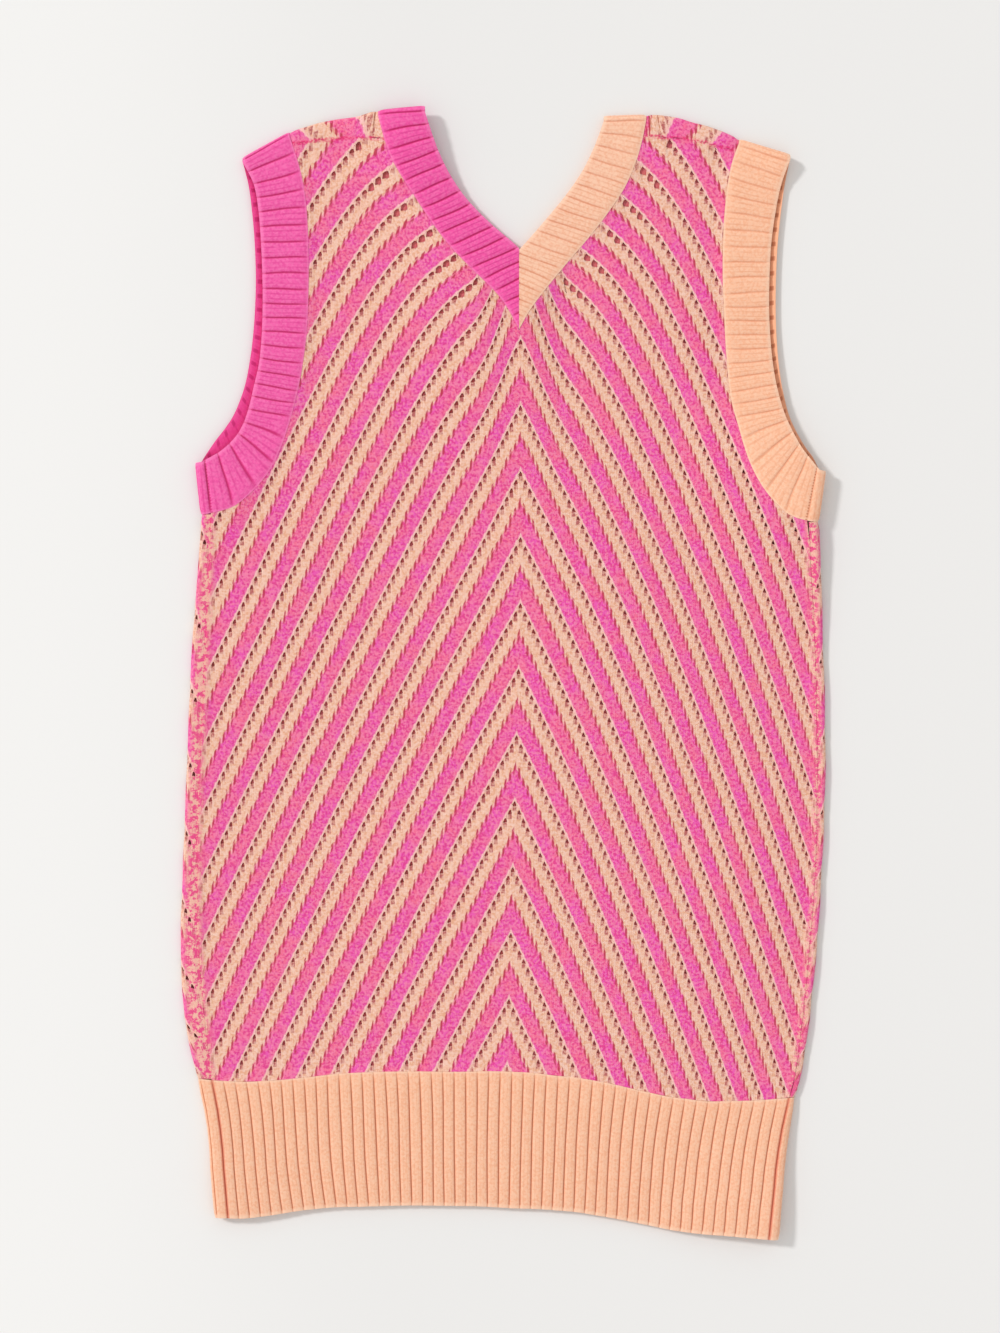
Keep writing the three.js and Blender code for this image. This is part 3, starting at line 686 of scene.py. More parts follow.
def place_front(x, y, z):
    number = stripe_number(x, y)
    wales = wale_number(x, y, number)
    fade = edge_fade(front_outline, x, y, 6)
    sunk = -LACE_LOW * fade - 0.15 * (1 - fade)
    margin = np.minimum(x - read(SIDES, "y", "left_seam", y), read(SIDES, "y", "right_seam", y) - x)
    margin = np.where(y < 110, margin, np.where(y > 300, shoulder_seam(x) - y, 99))
    rise = sunk + (lace_relief(number, wales) + np.maximum(soft_waves(x, y), -0.3)) * fade
    xyz = station(x, y, 90.0, rise=np.where(z < -0.5, sunk - LACE, rise))
    return xyz, np.stack([wales, number, margin], axis=1)


plate = lace_plate(front_outline, wales=(-80, 88), stripes=(-11, 12), shift=0)
lay(plate, place_front)
front = finish_piece("front_panel_lace", plate, "front_panel")

# %% [markdown]
# ## Back panel
# The back lies underneath, and it is wider and longer than the front: it wraps round both sides and over the
# shoulders, and is sewn to the front just inside the edges. It is cut flat as one plate, and then its margins
# are rolled round the folds. The roll keeps its length, so the stripes go on round it as knitted cloth does.

# %% The back panel
def fold_roll(x, y):
    """Length of cloth that goes round a fold."""
    return np.pi * (WALL + hollow(x, y))


def beyond_side(column_fold, column_seam, y, side):
    """The unfolded place of a side seam, past the fold."""
    fold = read(SIDES, "y", column_fold, y)
    seam = read(SIDES, "y", column_seam, y) - side * -HALF_SEAM * -1
    return fold + side * (fold_roll(fold, y) + np.abs(fold - seam) - HALF_SEAM)


def beyond_shoulder(x, front_y):
    """The unfolded place of a point on the front, past the shoulder fold."""
    fold = shoulder_fold(x)
    return fold + fold_roll(x, fold) + (fold - front_y)


def back_half(arm, neck):
    def flap(edges, downs):
        share = shoulder_share(edges)
        points = edges.panel_edge(1 + (share - 1) * downs)
        x, y = points[:, 0], points[:, 1]
        y = np.where(downs >= 1, shoulder_seam(x) + HALF_SEAM, y)
        return np.stack([x, beyond_shoulder(x, y)], axis=1)

    downs = np.array([0.0, 0.5, 1.0])
    arm_flap, neck_flap = flap(arm, downs), flap(neck, downs)
    xs = np.linspace(arm_flap[-1, 0], neck_flap[-1, 0], 8)[1:-1]
    top = np.stack([xs, beyond_shoulder(xs, shoulder_seam(xs) + HALF_SEAM)], axis=1)
    return np.concatenate([
        arm.panel_edge(np.linspace(0, 1, 50)),
        arm_flap,
        top,
        neck_flap[::-1],
        neck.panel_edge(np.linspace(1, 0.04, 32)),
    ])


def back_side(side):
    fold, seam = ("left_fold", "left_seam") if side < 0 else ("right_fold", "right_seam")
    edge = armhole_left if side < 0 else armhole_right
    foot = float(hem_seam(read(SIDES, "y", fold, -262)) + HALF_SEAM)
    y = np.linspace(foot, edge.panel_edge(0)[1], 30)
    return np.stack([beyond_side(fold, seam, y, side), y], axis=1)


left_wrap, right_wrap = back_side(-1), back_side(1)
hem_xs = np.linspace(right_wrap[0, 0], left_wrap[0, 0], 40)[1:-1]
back_outline = np.concatenate([
    left_wrap,
    back_half(armhole_left, neck_left),
    [V_POINT - (0, HALF_SEAM)],
    back_half(armhole_right, neck_right)[::-1],
    right_wrap[::-1],
    np.stack([hem_xs, hem_seam(hem_xs) + HALF_SEAM], axis=1),
])


def place_back(x, y, z):
    number = stripe_number(x, y)
    wales = wale_number(x, y, number)
    number = number - 0.5
    fade = edge_fade(back_outline, x, y, 4)
    left_fold, right_fold = (read(SIDES, "y", c, y) for c in ("left_fold", "right_fold"))
    top_fold = shoulder_fold(x)
    on_side = y < 110
    past_left = np.where(on_side, np.maximum(left_fold - x, 0), 0)
    past_right = np.where(on_side, np.maximum(x - right_fold, 0), 0)
    past_top = np.where(y > 300, np.maximum(y - top_fold, 0), 0)
    past = past_left + past_right + past_top
    fold_x = np.where(past_left > 0, left_fold, np.where(past_right > 0, right_fold, x))
    fold_y = np.where(past_top > 0, top_fold, y)
    roll = fold_roll(fold_x, fold_y)
    turn = -90 + 180 * np.minimum(past / roll, 1)
    flap = np.maximum(past - roll, 0)
    base_x = fold_x + np.where(past_left > 0, flap, 0) - np.where(past_right > 0, flap, 0)
    base_y = fold_y - np.where(past_top > 0, flap, 0)
    on_floor = np.cos(np.radians(np.minimum(turn + 90, 90)))
    calm = np.clip(1 - (y - top_fold + 6) / 6, 0.25, 1)
    rise = lace_relief(number, wales) * fade * calm - 0.5 * (1 - fade) - 0.75 * on_floor
    rise = np.where(z < -0.5, -LACE + (LACE - BACK_LACE) * on_floor, rise)
    dx = np.where(past_right > 0, 1.0, np.where(past_left > 0, -1.0, 0.0))
    dy = np.where(past_top > 0, 1.0, 0.0)
    to_shoulder_seam = np.abs(roll + fold_y - shoulder_seam(x) - past_top)
    margin = np.where(on_side, 10 - past_left - past_right, np.where(past_top > 0, to_shoulder_seam, 99))
    return station(base_x, base_y, turn, dx, dy, rise), np.stack([wales, number, margin], axis=1)


def add_lines_in_fold(bm, rounds=3):
    """Shorter edges where the plate will be rolled over a shoulder."""
    bmesh.ops.triangulate(bm, faces=bm.faces[:])
    for _ in range(rounds):
        long = []
        for edge in bm.edges:
            a, b = edge.verts[0].co, edge.verts[1].co
            if min(a.y, b.y) > 335 and abs(a.y - b.y) > 1.5:
                past = max(a.y, b.y) - float(shoulder_fold(a.x))
                if -2 < past < 16:
                    long.append(edge)
        bmesh.ops.subdivide_edges(bm, edges=long, cuts=1)
        bmesh.ops.triangulate(bm, faces=bm.faces[:])


def off_the_shoulder(x, y):
    return y < shoulder_fold(x) - 3


plate = lace_plate(back_outline, wales=(-88, 96), stripes=(-12, 12), shift=0.5, flat=off_the_shoulder)
add_lines_in_fold(plate)
lay(plate, place_back)
back = finish_piece("back_panel_lace", plate, "back_panel")

# %% [markdown]
# ## Ribs
# A rib is a broad rounded ridge between two narrow grooves. The grid gets eight lines to a rib. Across the
# band the ribs sink a little at both edges: at the seam, where the stitches are linked to the panel, and at
# the free edge, where they are cast off. Underneath, the ribs' tops rest on the floor.

# %% Rib lines and heights
RIB_PARTS = np.array([0.0, 0.055, 0.12, 0.25, 0.5, 0.75, 0.88, 0.945])
RIB_TOPS = np.array([0.0, 0.5, 0.86, 0.97, 1.0, 0.97, 0.86, 0.5])
ACROSS = np.array([0.0, 0.02, 0.06, 0.14, 0.26, 0.4, 0.55, 0.7, 0.82, 0.91, 0.96, 1.0])


def rib_lines(ribs):
    """Places of the grid lines of a number of ribs, in ribs."""
    lines = (np.arange(ribs)[:, None] + RIB_PARTS).ravel()
    return np.append(lines, ribs)


def rib_rise(ribs, across, deep=1.0):
    """Height of the ribbing above the plain wall, in mm. The grooves grow shallow towards the seam."""
    part = ribs % 1.0
    top = np.interp(part, np.append(RIB_PARTS, 1), np.append(RIB_TOPS, 0))
    shallow = 0.65 * np.exp(-((across / 0.09) ** 2)) + 0.3 * np.exp(-(((1 - across) / 0.05) ** 2))
    top = 1 - (1 - top) * deep
    top = top + (0.75 - top) * shallow
    seam_dip = 0.6 * np.exp(-((across / 0.05) ** 2))
    edge_dip = 0.4 * np.exp(-(((1 - across) / 0.03) ** 2))
    return (RIB_HEIGHT + GROOVE_DROP) * top - GROOVE_DROP - seam_dip - edge_dip


def hand_wobble(ribs, across):
    """Ribs that were smoothed down by hand lean a little here and there, in ribs."""
    bow = np.sin(np.pi * np.clip(across, 0, 1))
    return 0.045 * bow * (np.sin(1.7 * ribs + 2.3 * across) + 0.6 * np.sin(0.43 * ribs + 1.0))


# %% [markdown]
# ## Armhole bands and neckbands
# Each band is one strip: up the front, over the shoulder fold and down the back. An armhole band also turns
# round the underarm fold and comes back on the front, where its two ends are sewn together. A neckband is cut
# off on the upright mitre under the V, on the front and on the back.

# %% The bands
CURL = 1.8  # mm that the back's free edge curls up, where it shows beyond the front's


def band_piece(name, edges, start, width, underarm, node, slot):
    front_length = edges.length * (1 - start)
    roll = float(fold_roll(*edges.at(edges.free, 1)))
    ribs_front = round(front_length / width)
    pitch = front_length / ribs_front
    under_roll = float(fold_roll(*edges.at(edges.free, 0))) if underarm else 0
    stretches = np.cumsum([0, front_length, roll, edges.length, under_roll, edges.length * start])
    ribs = round(stretches[-1] / pitch)

    def place(along, across, z):
        ends = np.clip(np.minimum(along, ribs - along), 0, 1)
        way = (along + ends * hand_wobble(along, across)) / ribs * stretches[-1]
        stage = np.clip(np.searchsorted(stretches, way, side="right") - 1, 0, 4)
        part = way - stretches[stage]
        share = np.select(
            [stage == 0, stage == 1, stage == 2, stage == 3],
            [start + part / edges.length, 1.0, 1 - part / edges.length, 0.0],
            part / edges.length,
        )
        share = np.clip(share, 0, 1)
        turn = np.select(
            [stage == 1, stage == 2, stage == 3],
            [90 - 180 * part / roll, -90.0, -90 + 180 * part / max(under_roll, 1e-6)],
            90.0,
        )
        lean = read(ARMHOLE_LEAN, "share", "ahead", share) if underarm else 0
        seam_edge = edges.along_rib(share + lean * (stage == 0), HALF_SEAM)
        towards_back = np.select([stage == 2], [1.0], 0.0)[:, None]
        free_edge = edges.at(edges.free, share) * (1 - towards_back) + edges.at(edges.back, share) * towards_back
        point = seam_edge + (free_edge - seam_edge) * across[:, None]
        rise = rib_rise(along, across, 0.65 if slot == "orange_rib" else 1.0)
        below = np.clip(-turn / 90, 0, 1)
        rise = np.where(z < -0.5, -PLATE, rise - (RIB_HEIGHT * below))
        wide_front = np.hypot(*(edges.at(edges.free, share) - seam_edge).T)
        wide = np.hypot(*(free_edge - seam_edge).T)
        beyond = np.clip((across * wide - wide_front) / 3, 0, 1)
        rise = rise - CURL * beyond * beyond * (3 - 2 * beyond) * (stage == 2)
        dx = np.where(stage == 3, underarm, 0.0)
        dy = np.where(stage == 1, 1.0, 0.0)
        xyz = station(point[:, 0], point[:, 1], turn, dx, dy, rise)
        return xyz, np.stack([along, across * wide, (1 - across) * wide], axis=1)

    bm = grid_plate(rib_lines(ribs), ACROSS)
    lay(bm, place)
    if not underarm:
        cut_mitre(bm, 1 if slot == "orange_rib" else -1)
    print(name, ribs, "ribs,", round(stretches[-1]), "mm long")
    return finish_piece(name, bm, node)


def cut_mitre(bm, side):
    """Cut a neckband off on the mitre and close its cut ends."""
    at = ((MITRE_X + side * HALF_SEAM + SHIFT[0]) * MM, 0, 0)
    geom = bm.verts[:] + bm.edges[:] + bm.faces[:]
    cut = bmesh.ops.bisect_plane(bm, geom=geom, plane_co=at, plane_no=(-side, 0, 0), clear_outer=True)
    edges = [e for e in cut["geom_cut"] if isinstance(e, bmesh.types.BMEdge)]
    bmesh.ops.holes_fill(bm, edges=edges, sides=0)
    bmesh.ops.recalc_face_normals(bm, faces=bm.faces[:])


bands = [
    band_piece("armhole_band_left_rib", armhole_left, UNDERARM_SEAM, 10.2, -1, "armhole_band_left", "pink_rib"),
    band_piece("armhole_band_right_rib", armhole_right, UNDERARM_SEAM, 10.2, 1, "armhole_band_right", "orange_rib"),
    band_piece("neckband_left_rib", neck_left, 0.0, 10.0, 0, "neckband_left", "pink_rib"),
    band_piece("neckband_right_rib", neck_right, 0.0, 10.0, 0, "neckband_right", "orange_rib"),
]

# %% [markdown]
# ## Hem
# The hem is two ribbed pieces. The front one lies on top. The back one is wider and wraps round both sides, as
# the back panel does, so its rib lines are spaced along the whole unrolled width.

# %% The hem
HEM_RIBS = 50
HEM_DOWN = np.array([0.0, 0.012, 0.035, 0.1, 0.22, 0.36, 0.5, 0.64, 0.78, 0.89, 0.96, 0.985, 1.0])


def hem_y(x, down):
    top = hem_seam(x) - HALF_SEAM
    return top + (hem_edge(x) - top) * down


def hem_sway(x, down):
    """How far the hem's ribs sway to the left between its seam and its edge, in mm."""
    on_left = np.exp(-(((x + 125) / 45) ** 2)) * np.sin(np.pi * down)
    on_right = np.exp(-(((x - 130) / 45) ** 2)) * down**2 * np.clip((1 - down) * 6, 0.6, 1)
    return -2.2 * on_left - 2.0 * on_right


def place_hem_front(along, down, z):
    left = read(HEM_SIDES, "down", "left_seam", down) + HALF_SEAM
    right = read(HEM_SIDES, "down", "right_seam", down) - HALF_SEAM
    ends = np.clip(np.minimum(along, HEM_RIBS - along), 0, 1)
    x = left + (right - left) * (along + ends * hand_wobble(along, down)) / HEM_RIBS
    x = x + ends * hem_sway(x, down)
    y = hem_y(x, down)
    rise = rib_rise(along, down)
    uv = np.stack([along, down * 88, (1 - down) * 88], axis=1)
    return station(x, y, 90.0, rise=np.where(z < -0.5, -PLATE, rise)), uv


hem_front_bm = grid_plate(rib_lines(HEM_RIBS), HEM_DOWN)
lay(hem_front_bm, place_hem_front)
hem_front = finish_piece("hem_rib_front_knit", hem_front_bm, "hem_rib_front")

BACK_RIBS = 54


def place_hem_back(along, down, z):
    fold_l, seam_l, seam_r, fold_r = (
        read(HEM_SIDES, "down", c, down) for c in ("left_fold", "left_seam", "right_seam", "right_fold"))
    roll_l = fold_roll(fold_l, hem_y(fold_l, down))
    roll_r = fold_roll(fold_r, hem_y(fold_r, down))
    flap_l = seam_l - HALF_SEAM - fold_l
    flap_r = fold_r - seam_r - HALF_SEAM
    total = flap_l + roll_l + (fold_r - fold_l) + roll_r + flap_r
    way = along / BACK_RIBS * total
    ends = np.cumsum([flap_l, roll_l, fold_r - fold_l, roll_r], axis=0)
    stage = (way > ends[0]).astype(int) + (way > ends[1]) + (way > ends[2]) + (way > ends[3])
    x = np.select(
        [stage == 0, stage == 1, stage == 2, stage == 3],
        [seam_l - HALF_SEAM - way, fold_l, fold_l + way - ends[1], fold_r],
        fold_r - (way - ends[3]),
    )
    turn = np.select(
        [stage == 0, stage == 1, stage == 2, stage == 3],
        [90.0, 90 - 180 * (way - ends[0]) / roll_l, -90.0, -90 + 180 * (way - ends[2]) / roll_r],
        90.0,
    )
    below = np.clip(-turn / 90, 0, 1)
    rise = np.where(z < -0.5, -PLATE, rib_rise(along, down) - RIB_HEIGHT * below)
    dx = np.where(stage == 1, -1.0, np.where(stage == 3, 1.0, 0.0))
    xyz = station(x, hem_y(x, down), turn, dx, 0.0, rise)
    return xyz, np.stack([along, down * 88, (1 - down) * 88], axis=1)


hem_back_bm = grid_plate(rib_lines(BACK_RIBS), HEM_DOWN)
lay(hem_back_bm, place_hem_back)
hem_back = finish_piece("hem_rib_back_knit", hem_back_bm, "hem_rib_back")

# %% [markdown]
# ## Node groups
# The stitches, the mottled yarn and the stripes are each a node group, built once. They read the UV map that
# every piece got above: on lace it counts wales and stripes, and on ribbing it counts ribs and millimetres.

# %% A helper for node trees
class Nodes:
    """Short names for the nodes that the finishes use."""

    def __init__(self, tree):
        self.tree = tree

    def add(self, kind, **values):
        node = self.tree.nodes.new(kind)
        for name, value in values.items():
            setattr(node, name, value)
        return node

    def join(self, value, socket):
        if isinstance(value, bpy.types.NodeSocket):
            self.tree.links.new(value, socket)
        elif value is not None:
            socket.default_value = value

    def math(self, operation, a, b=None, c=None):
        node = self.add("ShaderNodeMath", operation=operation)
        for socket, value in zip(node.inputs, (a, b, c)):
            self.join(value, socket)
        return node.outputs[0]

    def split(self, vector):
        node = self.add("ShaderNodeSeparateXYZ")
        self.join(vector, node.inputs[0])
        return node.outputs[0], node.outputs[1]

    def vector(self, x, y):
        node = self.add("ShaderNodeCombineXYZ")
        self.join(x, node.inputs[0])
        self.join(y, node.inputs[1])
        return node.outputs[0]

    def smooth(self, value, low, high, to_low=0.0, to_high=1.0):
        node = self.add("ShaderNodeMapRange", interpolation_type="SMOOTHSTEP")
        for name, v in (("Value", value), ("From Min", low), ("From Max", high)):
            self.join(v, node.inputs[name])
        node.inputs["To Min"].default_value = to_low
        node.inputs["To Max"].default_value = to_high
        return node.outputs[0]

    def noise(self, vector, scale, detail=2.0, roughness=0.5):
        node = self.add("ShaderNodeTexNoise")
        self.join(vector, node.inputs["Vector"])
        node.inputs["Scale"].default_value = scale
        node.inputs["Detail"].default_value = detail
        node.inputs["Roughness"].default_value = roughness
        return node.outputs[0]

    def blend(self, factor, a, b, how="MIX"):
        node = self.add("ShaderNodeMix", data_type="RGBA", blend_type=how)
        self.join(factor, node.inputs[0])
        self.join(a, node.inputs[6])
        self.join(b, node.inputs[7])
        return node.outputs[2]

    def bump(self, height, strength, distance):
        node = self.add("ShaderNodeBump")
        self.join(height, node.inputs["Height"])
        node.inputs["Strength"].default_value = strength
        node.inputs["Distance"].default_value = distance
        return node.outputs[0]


def new_group(name, inputs, outputs):
    tree = bpy.data.node_groups.new(name, "ShaderNodeTree")
    for socket, kind in inputs:
        tree.interface.new_socket(socket, in_out="INPUT", socket_type=kind)
    for socket in outputs:
        tree.interface.new_socket(socket, in_out="OUTPUT", socket_type="NodeSocketFloat")
    nodes = Nodes(tree)
    start = nodes.add("NodeGroupInput")
    end = nodes.add("NodeGroupOutput")
    return nodes, start.outputs, end.inputs


def use_group(nodes, name, **values):
    node = nodes.add("ShaderNodeGroup", node_tree=bpy.data.node_groups[name])
    for socket, value in values.items():
        nodes.join(value, node.inputs[socket])
    return node.outputs


def linear(red, green, blue):
    """A colour as Blender wants it, from the 0 to 255 values of a photo."""
    parts = [c / 255 for c in (red, green, blue)]
    return (*[p / 12.92 if p <= 0.04045 else ((p + 0.055) / 1.055) ** 2.4 for p in parts], 1.0)


# %% [markdown]
# ### Stitches
# A knit stitch shows two slanting legs that meet in a V, one V above another in each wale. The group takes
# stitch coordinates and gives the height of the yarn and the gaps between the legs, which the finishes darken
# as painted shade.

# %% The stitch group
n, start, end = new_group("knit_stitches", [("Stitches", "NodeSocketVector")], ["Height", "Gap_Shade"])
across, up = n.split(start["Stitches"])
beside = n.math("ABSOLUTE", n.math("SUBTRACT", n.math("FRACT", across), 0.5))
leg = n.math("SUBTRACT", 1.0, n.math("POWER", n.math("SUBTRACT", n.math("MULTIPLY", beside, 4.0), 1.0), 2.0))
slanted = n.math("SUBTRACT", up, n.math("MULTIPLY", beside, 1.5))
wave = n.math("MULTIPLY_ADD", n.math("COSINE", n.math("MULTIPLY", slanted, 2 * math.pi)), 0.5, 0.5)
height = n.math("MULTIPLY", leg, n.math("MULTIPLY_ADD", wave, 0.7, 0.3))
n.join(height, end["Height"])
n.join(n.math("SUBTRACT", 1.0, height), end["Gap_Shade"])

# %% [markdown]
# ### Mottled yarn
# The yarn isn't one even colour: fine specks a stitch or two wide, and soft patches some centimetres across.

# %% The mottle group
n, start, end = new_group(
    "yarn_mottle", [("Place", "NodeSocketVector")], ["Speck", "Glint", "Patch", "Fuzz"])
n.join(n.smooth(n.noise(start["Place"], 640, 1.0), 0.42, 0.6), end["Speck"])
elsewhere = n.add("ShaderNodeVectorMath", operation="ADD")
n.join(start["Place"], elsewhere.inputs[0])
elsewhere.inputs[1].default_value = (1.373, 0.917, 0)
n.join(n.smooth(n.noise(elsewhere.outputs[0], 560, 1.0), 0.45, 0.6), end["Glint"])
n.join(n.smooth(n.noise(elsewhere.outputs[0], 60, 2.0), 0.38, 0.62), end["Patch"])
n.join(n.noise(start["Place"], 2600, 3.0, 0.7), end["Fuzz"])

# %% [markdown]
# ### Stripes
# Down one stripe come a light chain line, the eyelets with light strands between them, the orange part, a
# row of short upright dashes where the orange ends, and the pink part with a thin greyish line of painted
# shade at its foot. The lower half of each eyelet is painted a darker brownish pink, as painted shade.

# %% The stripe group
n, start, end = new_group(
    "chevron_stripes", [("Place", "NodeSocketVector")], ["Orange", "Dash", "Chain", "Line", "Strand", "Eye_Shade"])
wales, number = n.split(start["Place"])
down = n.math("FRACT", number)
near = n.math("SUBTRACT", n.math("FRACT", n.math("ADD", number, 0.5)), 0.5)
beside = n.math("SUBTRACT", n.math("FRACT", n.math("ADD", wales, 0.5)), 0.5)
from_eyelet = n.math("ABSOLUTE", beside)
level = n.math("MULTIPLY_ADD", n.math("MULTIPLY", beside, n.math("SIGN", wales)), EYE_FALL, near)
from_dash = n.math("ABSOLUTE", n.math("SUBTRACT", n.math("FRACT", n.math("ADD", wales, 0.7)), 0.5))
waver = n.math("MULTIPLY_ADD", n.noise(n.vector(wales, n.math("MULTIPLY", number, 9.0)), 1.6, 1.0), 0.16, -0.08)
ragged = n.math("ADD", down, waver)
fingers = n.math("SUBTRACT", ragged, n.math("MULTIPLY", from_dash, 0.12))
n.join(n.math("MAXIMUM", n.smooth(down, 0.94, 0.96), n.smooth(fingers, 0.375, 0.475, 1.0, 0.0)), end["Orange"])
dash_on = n.math("MULTIPLY", n.smooth(from_dash, 0.18, 0.32, 1.0, 0.0), n.smooth(ragged, 0.385, 0.42))
broken = n.smooth(n.noise(n.vector(wales, n.math("MULTIPLY", number, 22.0)), 1.0, 0.0), 0.3, 0.45, 0.35, 1.0)
dash_on = n.math("MULTIPLY", dash_on, broken)
n.join(n.math("MULTIPLY", dash_on, n.smooth(ragged, 0.52, 0.57, 1.0, 0.0)), end["Dash"])
arch = n.math("MULTIPLY", n.math("COSINE", n.math("MULTIPLY", wales, 2 * math.pi)), 0.021)
from_chain = n.math("ABSOLUTE", n.math("ADD", n.math("ADD", near, 0.018), arch))
bead = n.smooth(from_eyelet, 0.3, 0.48, 1.0, 0.15)
n.join(n.math("MULTIPLY", n.smooth(from_chain, 0.024, 0.048, 1.0, 0.0), bead), end["Chain"])
n.join(n.math("MULTIPLY", n.smooth(down, 0.905, 0.925), n.smooth(down, 0.935, 0.95, 1.0, 0.0)), end["Line"])
in_row = n.math("MULTIPLY", n.smooth(level, 0.0, 0.03), n.smooth(level, 0.13, 0.165, 1.0, 0.0))
n.join(n.math("MULTIPLY", in_row, n.smooth(from_eyelet, 0.4, 0.48)), end["Strand"])
# the eye mask: the lower half of each eyelet, which the finish paints as shade
past_side = n.math("SUBTRACT", from_eyelet, n.math("MULTIPLY_ADD", level, 1.6, 0.28))
n.join(n.math("MULTIPLY", in_row, n.smooth(past_side, -0.06, 0.04, 1.0, 0.0)), end["Eye_Shade"])
print("node groups:", [g.name for g in bpy.data.node_groups])

# %% [markdown]
# ## Finishes
# Cotton knit is matt with a faint sheen from its loose fibres. The Principled shader stays in each material,
# with plain numbers on its own sockets, and the groups feed colour, roughness and the bump.

# %% A finish for the lace
def new_finish(name):
    material = bpy.data.materials.new(name)
    material.use_nodes = True
    nodes = Nodes(material.node_tree)
    shader = material.node_tree.nodes["Principled BSDF"]
    shader.inputs["Specular IOR Level"].default_value = 0.25
    shader.inputs["Sheen Weight"].default_value = 0.12
    shader.inputs["Sheen Roughness"].default_value = 0.55
    coordinates = nodes.add("ShaderNodeTexCoord").outputs
    return material, nodes, shader, coordinates["UV"], coordinates["Object"]


LACE_ORANGE = linear(255, 216, 189)
LACE_PINK = linear(253, 125, 162)

striped, n, shader, uv, place = new_finish("striped_lace_knit")
wales, number = n.split(uv)
stitches = n.vector(n.math("MULTIPLY", wales, 2.0), n.math("MULTIPLY", number, -33.0))
knit = use_group(n, "knit_stitches", Stitches=stitches)
mottle = use_group(n, "yarn_mottle", Place=place)
stripe = use_group(n, "chevron_stripes", Place=uv)
margin = n.add("ShaderNodeAttribute", attribute_name="margin").outputs["Fac"]
place_y = n.split(place)[1]
on_shoulder = n.smooth(place_y, 0.2, 0.21)
clear = n.math("MAXIMUM", n.smooth(margin, -0.5, 4.5), on_shoulder)
blocks = n.smooth(n.noise(place, 330, 3.0, 0.75), 0.44, 0.56)
on_stripe = n.math("MULTIPLY_ADD", n.math("SUBTRACT", stripe["Orange"], blocks), clear, blocks)
pink = n.blend(mottle["Patch"], LACE_PINK, linear(247, 99, 194))
pink = n.blend(n.math("MULTIPLY", mottle["Speck"], 0.8), pink, linear(234, 60, 148))
pink = n.blend(n.math("MULTIPLY", mottle["Glint"], 0.7), pink, linear(255, 150, 190))
orange = n.blend(n.math("MULTIPLY", mottle["Speck"], 0.6), LACE_ORANGE, linear(236, 176, 130))
# painted shade: the gaps between the stitches' legs are darkened
orange = n.blend(n.smooth(knit["Gap_Shade"], 0.5, 1.0, 0.0, 0.5), orange, linear(222, 158, 128))
orange = n.blend(n.math("MULTIPLY", mottle["Glint"], 0.6), orange, linear(255, 228, 210))
pink = n.blend(clear, linear(247, 88, 152), pink)
orange = n.blend(clear, linear(255, 208, 186), orange)
colour = n.blend(on_stripe, pink, orange)
dash = n.math("MULTIPLY", stripe["Dash"], clear)
colour = n.blend(n.math("MULTIPLY", dash, 0.9), colour, linear(194, 56, 78))
# painted shade: the thin greyish line at the foot of the pink, beside the chain
line = n.math("MULTIPLY", stripe["Line"], clear)
colour = n.blend(n.math("MULTIPLY", line, 0.3), colour, linear(236, 150, 196))
# painted shade in the gaps between the stitches' legs, over both yarns
colour = n.blend(n.math("MULTIPLY", knit["Gap_Shade"], 0.42), colour, n.blend(
    1.0, colour, linear(240, 168, 176), "MULTIPLY"))
# painted shade: the lower half of each eyelet is darkened to a brownish pink, standing in for the shaded layer seen
# through an open eyelet
eye_shade_tone = n.smooth(mottle["Speck"], 0.0, 1.0, 0.5, 0.95)
eye = n.math("MULTIPLY", stripe["Eye_Shade"], n.math("MULTIPLY_ADD", clear, 0.7, 0.3))
colour = n.blend(n.math("MULTIPLY", eye, eye_shade_tone), colour, linear(186, 96, 96))
colour = n.blend(n.math("MULTIPLY", stripe["Strand"], 0.7), colour, linear(255, 208, 196))
chain_tone = n.math("MULTIPLY", stripe["Chain"], n.smooth(mottle["Speck"], 0.0, 1.0, 0.95, 0.6))
colour = n.blend(n.math("MULTIPLY", chain_tone, clear), colour, linear(255, 198, 196))
seam_line = n.math("MULTIPLY", on_shoulder, n.smooth(margin, 0.6, 2.0, 1.0, 0.0))
seam_line = n.math("MULTIPLY", seam_line, n.smooth(mottle["Speck"], 0.0, 1.0, 0.25, 0.8))
colour = n.blend(seam_line, colour, linear(236, 52, 118))
# the inner faces, seen through the eyelets, are tinted a darker red-brown: partly the reverse side's own colour,
# partly painted shade
inside_on = n.add("ShaderNodeAttribute", attribute_name="inside").outputs["Fac"]
colour = n.blend(n.math("MULTIPLY", inside_on, 0.8), colour, linear(214, 112, 102))
n.join(colour, shader.inputs["Base Color"])
n.join(n.math("MULTIPLY_ADD", mottle["Fuzz"], 0.2, 0.75), shader.inputs["Roughness"])
relief = n.math("MULTIPLY_ADD", mottle["Fuzz"], 0.25, knit["Height"])
n.join(n.bump(relief, 0.6, 0.0004), shader.inputs["Normal"])

